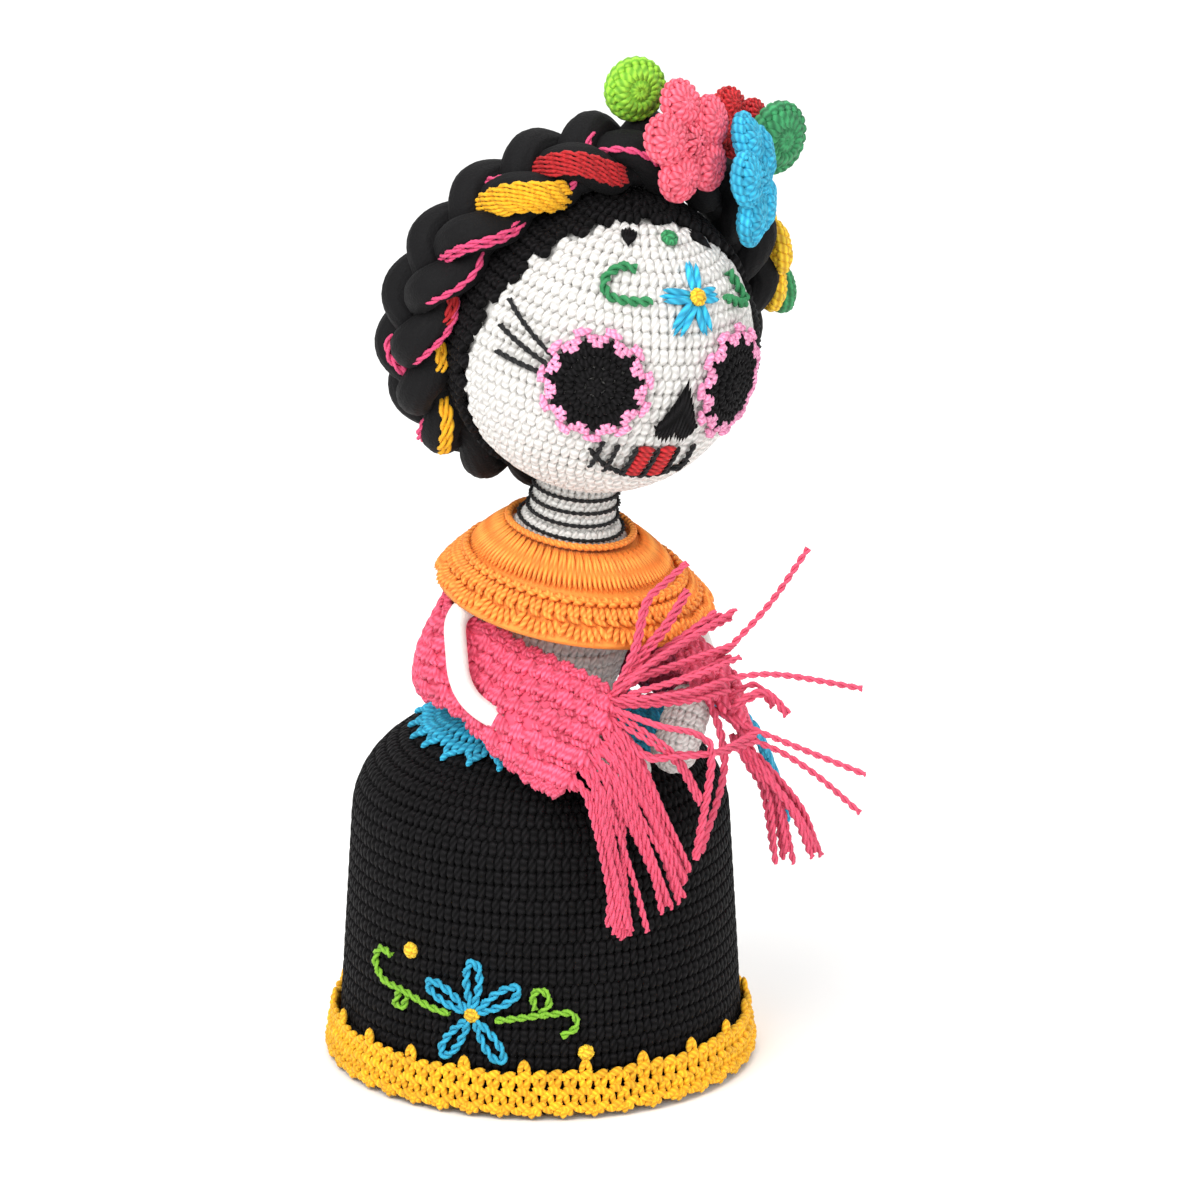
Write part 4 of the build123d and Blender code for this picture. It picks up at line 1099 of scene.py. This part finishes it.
def crown(turn, radius, back):
    """A place beside the crown: angle to her left of the top, radius and depth behind the face."""
    x = radius * math.sin(turn)
    y = -math.sin(BRAID_TILT) * math.cos(turn) * radius + math.cos(BRAID_TILT) * back
    z = math.cos(BRAID_TILT) * math.cos(turn) * radius + math.sin(BRAID_TILT) * back
    return HEAD_C + face_vector(x + 0.8, y, z + 1.0)


def hank_line(turn, strand):
    weave = 6 * turn + 2 * math.pi * strand / 3
    return crown(turn, BRAID_RADIUS + HALF_DEPTH * math.sin(2 * weave),
                 BRAID_BACK + HALF_WIDTH * math.sin(weave))


def hank_point(turn, strand, angle, radius):
    """A place on a hank: angle 0 is its outer side and positive angles go to the front."""
    ahead = unit(hank_line(turn + 0.01, strand) - hank_line(turn - 0.01, strand))
    out = unit(hank_line(turn, strand) - crown(turn, 0, BRAID_BACK))
    out = unit(out - ahead * (out @ ahead))
    side = np.cross(ahead, out)
    return hank_line(turn, strand) + out * radius * math.cos(angle) + side * radius * 1.1 * math.sin(angle)


HAIR_YARN = yarn("black_hair_yarn", (0.0085, 0.008, 0.009), (0.002, 0.002, 0.002), gloss=0.14, sheen=0.03,
                 plies=0.0, twist=0.0)
RIDGES, AROUND, STEPS = 12, 48, 300
hank_points, hank_faces = [], []
for strand in range(3):
    start = len(hank_points)
    for i in range(STEPS):
        turn = 2 * math.pi * i / STEPS
        for a in range(AROUND):
            angle = 2 * math.pi * a / AROUND
            swell = 3.5 + 0.17 * abs(math.sin(RIDGES / 2 * (angle
                                                            + turn * 3))) - 0.1 * math.cos(12 * turn + strand)
            hank_points.append(hank_point(turn, strand, angle, swell))
    for i in range(STEPS):
        for a in range(AROUND):
            j, b = (i + 1) % STEPS, (a + 1) % AROUND
            hank_faces.append((start + i * AROUND + a, start + i * AROUND + b, start + j * AROUND + b,
                               start + j * AROUND + a))
plait = mesh_object("plait", hank_points, hank_faces)
plait.data.materials.append(HAIR_YARN)
# A plain black roll inside the plait closes the gaps between its hanks.
ROLL_STEPS, ROLL_AROUND = 96, 20
ROLL_REACH, ROLL_BACK = 33.0, 11.5
ROLL_HALF_OUT, ROLL_HALF_BACK = 3.4, 5.2
roll_points = []
for i in range(ROLL_STEPS):
    turn = 2 * math.pi * i / ROLL_STEPS
    out = unit(crown(turn, 2, 0) - crown(turn, 1, 0))
    back = unit(crown(turn, 1, 1) - crown(turn, 1, 0))
    for a in np.linspace(0, 2 * math.pi, ROLL_AROUND, endpoint=False):
        centre = crown(turn, ROLL_REACH, ROLL_BACK)
        roll_points.append(centre + out * ROLL_HALF_OUT * math.cos(a) + back * ROLL_HALF_BACK * math.sin(a))
roll_count = ROLL_STEPS * ROLL_AROUND
roll_faces = [tuple(k % roll_count for k in f[::-1]) for f in grid_faces(ROLL_STEPS + 1, ROLL_AROUND)]
roll = mesh_object("plait_roll", roll_points, roll_faces)
roll.data.materials.append(HAIR_YARN)
plait = join("plait", plait, roll)
dress(plait, "head", "black_yarn", "braid")


# ------------------------------------------------------------------ ribbons in the plait
# Lengths of mustard, red and pink yarn worked in with the hair; they surface on the hanks for a
# centimetre or two and dive under again.
def surface_yarn(strand, start, end, angle, radius=3.9):
    """A yarn on one hank between two turns in degrees, angle counted to the back, that sinks at both ends."""
    line = []
    for t in np.linspace(0, 1, 26):
        sink = 0.9 * (2 * t - 1) ** 4
        line.append(hank_point(math.radians(start + (end - start) * t), strand, -angle, radius - sink))
    return line


PINK_CORD = yarn("bright_pink_cotton", (0.85, 0.09, 0.25), (0.50, 0.03, 0.10), gloss=0.45, sheen=0.1,
                 twist=0.0)
mustard_lines = [surface_yarn(1, -52, -30, -1.75 + 0.24 * k, 3.8) for k in range(7)]
mustard_lines += [surface_yarn(2, -112, -98, -1.5 + 0.3 * k) for k in range(2)]
mustard_lines += [surface_yarn(0, -142, -128, -1.2 + 0.3 * k) for k in range(2)]
ribbon = twist_cords("mustard_ribbon", mustard_lines, MUSTARD, 0.5, 1.0)
dress(ribbon, "head", "mustard_yarn", "ribbon_mustard")
red_lines = [surface_yarn(0, -32, -8, -1.3 + 0.24 * k, 3.8) for k in range(5)]
red_lines += [surface_yarn(1, -92, -80, -1.4 + 0.3 * k) for k in range(2)]
ribbon = twist_cords("red_ribbon", red_lines, RED, 0.42, 1.0)
dress(ribbon, "head", "red_yarn", "ribbon_red")
pink_lines = []
for strand, start, end, angle in ((2, -70, -48, -1.3), (2, -69, -50, -1.0), (1, -104, -84, -1.5),
                                  (0, -82, -66, -1.2),
                                  (0, -122, -106, -1.3), (0, -121, -108, -1.0), (2, -144, -128, -1.2),
                                  (1, -30, -14, -0.8), (2, -12, 4, -1.0), (1, 140, 156, -1.0),
                                  (2, 110, 126, 0.4),
                                  (0, -150, -136, 0.6), (1, -60, -44, 0.7), (0, 60, 76, 0.8)):
    pink_lines.append(surface_yarn(strand, start, end, angle))
ribbon = twist_cords("pink_ribbon", pink_lines, PINK_CORD, 0.42, 1.0)
dress(ribbon, "head", "pink_yarn", "ribbon_pink")

# ------------------------------------------------------------------ flowers and leaves in the hair
# Little puffs crocheted in glossy cotton and sewn to the plait above her left temple: four
# flowers of five round petals, and three round leaves.
CORAL = yarn("coral_cotton", (0.90, 0.15, 0.22), (0.62, 0.05, 0.09), gloss=0.6, sheen=0.08, depth=0.25)


def puff(centre, facing, up_dir, radius, depth, spokes=13):
    """Strands over a flattened ball: fanned over both sides, and round its edge."""
    side = np.cross(up_dir, facing)
    made = []
    for face in (1, -1):
        for ring, (reach, lift, length) in enumerate(((0.30, 0.98, 0.75), (0.70, 0.78, 0.80))):
            count = spokes - 5 if ring == 0 else spokes
            for i in range(count):
                a = 2 * math.pi * (i + 0.5 * ring) / count
                out = side * math.cos(a) + up_dir * math.sin(a)
                place = centre + out * radius * reach + facing * face * depth * lift
                normal = unit(facing * face + out * reach * 0.9)
                along = unit(out - facing * face * reach * 0.8 + np.cross(facing, out) * 0.3)
                made.append((place, normal, along, (radius * 0.40, radius * length, radius * 0.34)))
    for i in range(spokes + 3):
        a = 2 * math.pi * i / (spokes + 3)
        out = side * math.cos(a) + up_dir * math.sin(a)
        made.append((centre + out * radius * 0.98, out, unit(facing + np.cross(facing, out) * 0.8),
                     (radius * 0.42, depth * 2.1, radius * 0.4)))
    return made


def puff_core(name, centre, facing, up_dir, radius, depth, material):
    """The stuffed inside that shows dark between the strands."""
    side = np.cross(up_dir, facing)
    profile = [(radius * 0.9 * math.sin(a), -depth * 0.9 * math.cos(a))
               for a in np.linspace(0.2, math.pi - 0.2, 10)]
    return revolve_mesh(name, profile, (centre, side, up_dir, facing), 16, material)


def crown_flower(name, centre, facing, petal, material, spin=18.0, thick=2.1):
    facing = unit(facing)
    centre = HEAD_C + face_vector(*centre)
    side = unit(np.cross((0, 0, 1), facing))
    rise = np.cross(facing, side)
    places = puff(centre + facing * 0.8, facing, rise, petal * 0.62, thick * 0.8, 9)
    cores = [puff_core(name + "_core", centre, facing, rise, petal * 0.7, thick, material)]
    for i in range(5):
        a = 2 * math.pi * i / 5 + math.radians(spin)
        out = side * math.cos(a) + rise * math.sin(a)
        middle = centre + out * petal * 1.42 + facing * 0.5 * math.sin(3 * i + 1)
        tilt = unit(facing + out * 0.18)
        up_dir = unit(np.cross(np.cross(tilt, out), tilt))
        places += puff(middle, tilt, up_dir, petal * 0.86, thick * 0.82)
        cores.append(puff_core(f"{name}_petal_{i}", middle, tilt, up_dir, petal * 0.85, thick * 0.8,
                               material))
    flower = join(name, *cores, lay_stitches(name + "_strands", places, material))
    return flower


BRAID_OUT = BRAID_RADIUS + 5.15
for name, node, place, facing, petal, material, finish in (
    ("coral_flower", "flower_pink", (0.192, -0.110, 1.092), (0.30, -0.93, 0.22), 5.3, CORAL, "pink_yarn"),
    ("sky_flower", "flower_blue", (0.590, -0.134, 0.902), (0.70, -0.70, 0.12), 5.8, BLUE, "blue_yarn"),
    ("yellow_flower", "flower_yellow", (1.040, 0.355, 0.331), (0.97, -0.22, 0.05), 5.5, YELLOW,
     "yellow_yarn"),
    ("red_flower", "flower_red", (0.765, 0.375, 0.929), (0.30, -0.92, 0.25), 4.0, RED, "red_yarn"),
):
    flower = crown_flower(name, np.array(place) * BRAID_OUT, facing, petal, material)
    dress(flower, "head", finish, node)
for name, node, place, facing, radius, material, finish in (
    ("lime_leaf", "leaf_light_green", (0.022, 0.194, 1.240), (-0.15, -0.98, 0.10), 6.3, LIME,
     "light_green_yarn"),
    ("dark_leaf", "leaf_dark_green", (0.930, 0.270, 0.950), (0.20, -0.98, 0.00), 7.2, GREEN,
     "dark_green_yarn"),
    ("lower_leaf", "leaf_dark_green_lower", (1.225, 0.425, 0.090), (0.97, -0.22, 0.05), 5.0, GREEN,
     "dark_green_yarn"),
):
    facing = unit(facing)
    centre = HEAD_C + face_vector(*(np.array(place) * BRAID_OUT))
    rise = unit(np.cross(np.cross(facing, (0, 0, 1)), facing))
    core = puff_core(name + "_core", centre, facing, rise, radius * 0.92, 2.3, material)
    leaf = join(name, core, lay_stitches(name + "_strands",
                                         puff(centre, facing, rise, radius * 0.9, 2.0, 18), material))
    dress(leaf, "head", finish, node)

# ------------------------------------------------------------------ arms and hands
# Thin white crocheted cords, sewn on under the yoke and bent forward, with a stuffed lobe for
# each hand. The hands rest in front of the waist.
SHOULDER_S, SHOULDER_OUT, HAND_FRONT = 24.48, 16.3, -33.0
SHOULDER = spine_point(0, 0, SHOULDER_S)


def arm_route(side):
    lift = 0 if side < 0 else 1.5
    reach = SHOULDER_OUT + 5.5
    return [
        spine_point(side * SHOULDER_OUT, 0, SHOULDER_S),
        spine_point(side * (reach + 4.0), -1.0, SHOULDER_S - 2.0),
        np.array([SHOULDER[0] + side * (reach + 7.0), SHOULDER[1] - 7.5, SHOULDER[2] - 14.5 + lift]),
        np.array([SHOULDER[0] + side * (reach + 1.0), HAND_FRONT * 0.66, SHOULDER[2] - 19.5 + lift]),
        np.array([SHOULDER[0] + side * 11.2, HAND_FRONT + 1.0, SKIRT_H + 4.5 + lift]),
    ]


def soft_route(points, step):
    """Straight runs joined by round bends, evenly spaced."""
    line = [points[0]]
    for before, here, after in zip(points, points[1:], points[2:]):
        reach = 0.45 * min(np.linalg.norm(before - here), np.linalg.norm(after - here))
        start, end = here + unit(before - here) * reach, here + unit(after - here) * reach
        line += [start * (1 - t) ** 2 + here * 2 * t * (1 - t) + end * t * t for t in np.linspace(0, 1, 9)]
    line.append(points[-1])
    line = np.array(line)
    runs = np.concatenate([[0], np.cumsum(np.linalg.norm(np.diff(line, axis=0), axis=1))])
    at = np.linspace(0, runs[-1], int(runs[-1] / step) + 1)
    return np.array([[np.interp(d, runs, line[:, k]) for k in range(3)] for d in at])


def tube_mesh(name, line, radius, sides, material):
    """Closed tube along a line."""
    points = []
    side = unit(np.cross(line[1] - line[0], (0.1, 0.2, 1)))
    for i, p in enumerate(line):
        along = unit(line[min(i + 1, len(line) - 1)] - line[max(i - 1, 0)])
        side = unit(side - along * (side @ along))
        rise = np.cross(along, side)
        points += [p + (side * math.cos(a) + rise * math.sin(a)) * radius
                   for a in np.linspace(0, 2 * math.pi, sides, endpoint=False)]
    faces = grid_faces(len(line), sides)
    low, high = len(points), len(points) + 1
    points += [line[0], line[-1]]
    last = (len(line) - 1) * sides
    faces += [(low, (s + 1) % sides, s) for s in range(sides)]
    faces += [(high, last + s, last + (s + 1) % sides) for s in range(sides)]
    obj = mesh_object(name, points, faces)
    obj.data.materials.append(material)
    return obj


FELTED = yarn("felted_white_cord", (0.80, 0.785, 0.755), (0.72, 0.70, 0.67), gloss=0.25, sheen=0.4,
              plies=0.0, twist=0.0, uneven=0.1, depth=0.3)
for side, word in ((-1, "right"), (1, "left")):
    route = arm_route(side)
    wrist = route[-1]
    down = np.array([-side * 5.6, -3.2, -7.0])
    length = np.linalg.norm(down)
    axis = down / length
    cross_x = unit(np.cross(axis, (0, 1, 0.2)))
    hand_frame = (wrist, cross_x, np.cross(axis, cross_x), axis)
    lobe_outline = [(4.5 * math.sin(a), -4.5 * math.cos(a)) for a in np.linspace(0.25, math.pi / 2, 7)]
    lobe_outline += [(4.5 * math.sin(a), length - 4.5 * math.cos(a))
                     for a in np.linspace(math.pi / 2, math.pi - 0.25, 7)]
    lobe_outline = np.array(lobe_outline)
    arm = join(
        "arm_" + word,
        tube_mesh("arm_cord_" + word, soft_route(route, 0.9), 2.2, 24, FELTED),
        revolve_mesh("hand_core_" + word, lobe_outline - np.array([0.8, 0.0]), hand_frame, 24, WHITE),
        lay_stitches("hand_stitches_" + word, round_stitches(lobe_outline, 2.5, 2.9, hand_frame, 1.4, -0.5),
                     WHITE, V_STITCH),
    )
    dress(arm, word + "_arm", "white_yarn", word + "_arm", word + "_hand")

# ------------------------------------------------------------------ shawl
# A coral-pink shawl in shell stitch. It hangs low across the back, comes forward between each arm and the
# body, and folds over the forearm; the fringe of each half rides on its arm.
ROSE = yarn("rose_cotton", (0.88, 0.12, 0.22), (0.60, 0.045, 0.10), gloss=0.45, sheen=0.15, depth=0.3)
MIDDLE_X = SHOULDER[0]


def shawl_half(side):
    """Lines down the half, from the middle of the back to the free edge."""
    lines = []
    for row in (
        ((0, 20, 21), (0, 21, 15), (0, 22, 9), (0, 23, 3)),
        ((-10.5, 17.5, 21), (-11, 18.5, 15), (-12, 19.5, 9), (-13, 20, 3)),
        ((-18, 11, 21), (-19.3, 12, 15), (-20.3, 13, 9), (-20.8, 13.5, 3)),
        ((-23, 4.5, 19.4), (-25, 5, 14), (-26, 5, 9), (-25, 5, 3)),
        ((-19.4, -5, 19.2), (-20.5, -5, 14), (-22, -5, 9), (-24, -5, 4)),
    ):
        lines.append([spine_point(-side * x, y, s) for x, y, s in row])
    for row in (
        ((-14.5, -14, 91.0), (-18.0, -15.5, 86), (-22.0, -17.5, 80.5), (-23.2, -18.5, 74.5)),
        ((-12, -22.5, 90.0), (-16, -25.5, 86), (-20.8, -28.5, 80), (-22.2, -29, 71.5)),
        ((-9, -29.5, 88), (-12.5, -32, 84), (-17.4, -33.8, 78), (-20.8, -34, 71)),
        ((-6.5, -34, 86), (-10, -36.8, 82), (-15.2, -38.0, 77), (-19.8, -37, 70)),
    ):
        lift = 0 if side < 0 else 1.5
        lines.append([np.array([MIDDLE_X - side * (x - MIDDLE_X), y, z + lift]) for x, y, z in row])
    return lines


def spline_at(points, t):
    """Smooth value at a share of a row of points."""
    points = np.asarray(points, float)
    x = t * (len(points) - 1)
    i = min(int(x), len(points) - 2)
    f = x - i
    p1, p2 = points[i], points[i + 1]
    p0 = points[i - 1] if i > 0 else 2 * p1 - p2
    p3 = points[i + 2] if i + 2 < len(points) else 2 * p2 - p1
    return 0.5 * (2 * p1 + (p2 - p0) * f + (2 * p0 - 5 * p1 + 4 * p2 - p3) * f * f
                  + (3 * p1 - p0 - 3 * p2 + p3) * f ** 3)


def strands_of(guide, count, spread, start_spread=0.8):
    """Copies of a guide line that wander more towards the tip."""
    made = []
    for _ in range(count):
        drift = np.array([random.uniform(-1, 1) for _ in range(3)])
        bow = np.array([random.uniform(-1, 1) for _ in range(3)])
        shape = []
        for i, p in enumerate(guide):
            t = i / (len(guide) - 1)
            shape.append(np.array(p) + drift * (start_spread * (1 - t) + spread * t)
                         + bow * spread * 0.5 * math.sin(math.pi * t))
        made.append(spline(shape, 0.55))
    return made


RIGHT_FALL = ((-15, -44.5, 43), (-11, -45.5, 40.5), (-7, -45.5, 40.5), (-2.5, -46, 43), (2, -46.5, 46.5),
              (4, -46, 51))
RIGHT_LOOSE = (
    (((-5.9, -34.2, 85.6), (-3.5, -36.3, 90.2), (4.2, -36.4, 93.1), (16.5, -35.9, 98.6)), 4),
    (((-5.2, -34.6, 85.8), (-1.2, -37.2, 91.7), (8.6, -37.0, 95.6), (21.2, -35.0, 99.0)), 3),
    (((-6.0, -34.3, 85.0), (-1.8, -38.1, 88.7), (9.2, -39.7, 90.3), (21.0, -38.2, 91.3)), 4),
    (((-6.7, -33.9, 85.0), (-2.0, -40.1, 86.8), (7.8, -41.7, 86.6), (18.5, -39.1, 85.7)), 4),
    (((-5.1, -34.4, 86.1), (-1.2, -35.7, 95.1), (2.9, -33.6, 103.2), (8.6, -32.3, 106.3),
      (13.5, -31.8, 109.0)), 2),
    (((-5.1, -34.4, 86.1), (-0.2, -35.7, 93.8), (6.1, -35.2, 98.8), (13.0, -32.5, 103.8)), 2),
    (((-8.6, -34.6, 83.3), (-5.5, -43.9, 75.9), (0.5, -45.8, 74.8), (10.4, -46.5, 73.8),
      (21.0, -43.3, 73.9)), 3),
    (((-8.1, -34.5, 84.4), (-1.7, -45.0, 82.0), (6.7, -46.9, 78.8), (8.8, -48.1, 73.4), (5.0, -48.0, 53.3)),
     2),
    (((-8.2, -34.7, 83.9), (-3.7, -44.5, 80.1), (2.4, -46.1, 74.1), (6.6, -47.7, 65.2)), 2),
)
LEFT_LOOSE = (
    (((14.6, -35.3, 85.4), (20.2, -37.7, 91.3), (27.4, -41.2, 100.3), (34.6, -43.8, 111.3)), 1),
    (((14.4, -35.5, 84.6), (18.0, -39.8, 86.0), (26.6, -44.3, 86.3), (43.0, -49.6, 81.8)), 1),
    (((17.7, -36.0, 79.6), (21.5, -41.1, 76.8), (28.9, -44.1, 72.6), (44.4, -50.5, 64.3)), 1),
    (((19.9, -36.3, 76.5), (22.7, -41.1, 72.7), (29.3, -43.5, 68.7), (35.6, -46.2, 63.5),
      (43.6, -48.8, 55.2)), 1),
    (((23.0, -35.3, 71.9), (24.1, -40.8, 67.0), (27.4, -41.7, 61.1), (30.1, -41.9, 47.2)), 7),
    (((23.4, -35.8, 71.4), (25.9, -41.3, 65.7), (31.7, -43.9, 56.8), (36.3, -43.4, 47.6)), 8),
    (((15.5, -35.6, 83.1), (15.4, -41.6, 75.0), (13.9, -44.2, 66.9), (7.5, -45.8, 53.4)), 2),
    (((19.5, -35.8, 77.1), (20.1, -39.5, 81.3), (25.7, -40.2, 82.4), (29.6, -41.2, 77.3)), 3),
)
CLOTH_ACROSS, CLOTH_DOWN = 60, 14
for side, word in ((-1, "right"), (1, "left")):
    lines = shawl_half(side)

    def cloth(u, v):
        return spline_at([spline_at(line, v) for line in lines], u)

    def cloth_normal(u, v):
        a = cloth(min(u + 0.01, 1), v) - cloth(max(u - 0.01, 0), v)
        b = cloth(u, min(v + 0.02, 1)) - cloth(u, max(v - 0.02, 0))
        return unit(np.cross(a, b)) * (1 if side < 0 else -1), unit(a), unit(b)

    points, faces = [], []
    for layer in (0.55, -0.55):
        for i in range(CLOTH_ACROSS):
            for j in range(CLOTH_DOWN):
                u, v = i / (CLOTH_ACROSS - 1), j / (CLOTH_DOWN - 1)
                points.append(cloth(u, v) + cloth_normal(u, v)[0] * layer)
    count = CLOTH_ACROSS * CLOTH_DOWN
    top = grid_faces(CLOTH_ACROSS, CLOTH_DOWN, wrap=False)
    faces = [f if side > 0 else f[::-1] for f in top]
    faces += [tuple(k + count for k in f[::-1]) if side > 0 else tuple(k + count for k in f) for f in top]
    edge = [j for j in range(CLOTH_DOWN)] + [i * CLOTH_DOWN + CLOTH_DOWN - 1 for i in range(1, CLOTH_ACROSS)]
    edge += [(CLOTH_ACROSS - 1) * CLOTH_DOWN + j for j in range(CLOTH_DOWN - 2, -1, -1)]
    edge += [i * CLOTH_DOWN for i in range(CLOTH_ACROSS - 2, 0, -1)]
    for a, b in zip(edge, edge[1:] + edge[:1]):
        quad = (a, b, b + count, a + count)
        faces.append(quad if side < 0 else quad[::-1])
    fabric = mesh_object("shawl_" + word, points, faces)
    fabric.data.materials.append(ROSE)
    shells = []
    rows, columns = 5, 17
    for i in range(columns):
        for j in range(rows):
            u = min((i + 0.5 + 0.5 * (j % 2)) / columns, 0.985)
            v = (j + 0.5) / rows
            normal, across, down = cloth_normal(u, v)
            centre = cloth(u, v)
            for face in (1, -1):
                for k in range(-2, 3):
                    lean = k * 0.42
                    along = unit(down * math.cos(lean) + across * math.sin(lean))
                    place = centre + across * k * 0.75 + along * 0.5 + normal * face * (0.95 - 0.09 * k * k)
                    wander = (across * random.uniform(-0.3, 0.3) + normal * face * random.uniform(-0.1, 0.35))
                    shells.append((place, normal * face, unit(along + wander), (1.6, 4.5, 1.7)))
                shells.append((centre - down * 2.0 + normal * face * 1.1, normal * face, across,
                               (1.2, 2.6, 1.3)))
    for v, way in ((0.0, -1), (1.0, 1)):
        for i in range(columns * 5):
            u = (i + 0.5) / (columns * 5)
            normal, across, down = cloth_normal(u, v)
            wave = abs(math.sin(math.pi * (i + 0.5) / 5))
            shells.append((cloth(u, v) + down * way * (0.2 + 1.1 * wave), normal,
                           unit(down * way + across * 0.5 * math.cos(math.pi * (i + 0.5) / 5)),
                           (1.4, 3.0, 1.8)))
    for j in range(18):
        normal, across, down = cloth_normal(0.99, j / 17)
        shells.append((cloth(1.0, j / 17), normal, unit(down + across * 0.5), (1.5, 2.2, 2.0)))
    shell_rows = lay_stitches("shawl_shells_" + word, shells, ROSE)
    strands = []
    if side < 0:
        for _ in range(30):
            t = random.random()
            root = cloth(0.995, 0.25 + 0.75 * random.random() * (1 - 0.5 * t))
            tip = spline_at(RIGHT_FALL, t) + np.array([random.uniform(-0.8, 0.8), random.uniform(-1.0, 0.6),
                                                       random.uniform(-1.5, 1.5)])
            knee = root * 0.78 + tip * 0.22 + np.array([random.uniform(-0.5, 1.0), -3.4, 2.6])
            low = root * 0.34 + tip * 0.66 + np.array([0, -2.4, 1.2])
            strands.append(spline([root, knee, low, tip], 0.55))
    for guide, number in (RIGHT_LOOSE if side < 0 else LEFT_LOOSE):
        strands += strands_of(guide, number, 1.9 if number > 2 else 0.5)
    tassels = twist_cords("fringe_strands_" + word, strands, ROSE, 0.40, 1.35)
    body = word + "_arm"
    dress(tassels, body, "pink_yarn", "fringe_" + word)
    start = (side * 0.020, -0.002, 0.09)
    end = (side * 0.020, -0.018, 0.082)
    for obj in (fabric, shell_rows):
        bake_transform(obj)
    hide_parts("shawl_" + word + "_end", *(["shawl_back"] if side < 0 else []))

# ------------------------------------------------------------------ finish
for pattern in (V_STITCH, STRAND):
    bpy.data.objects.remove(pattern)
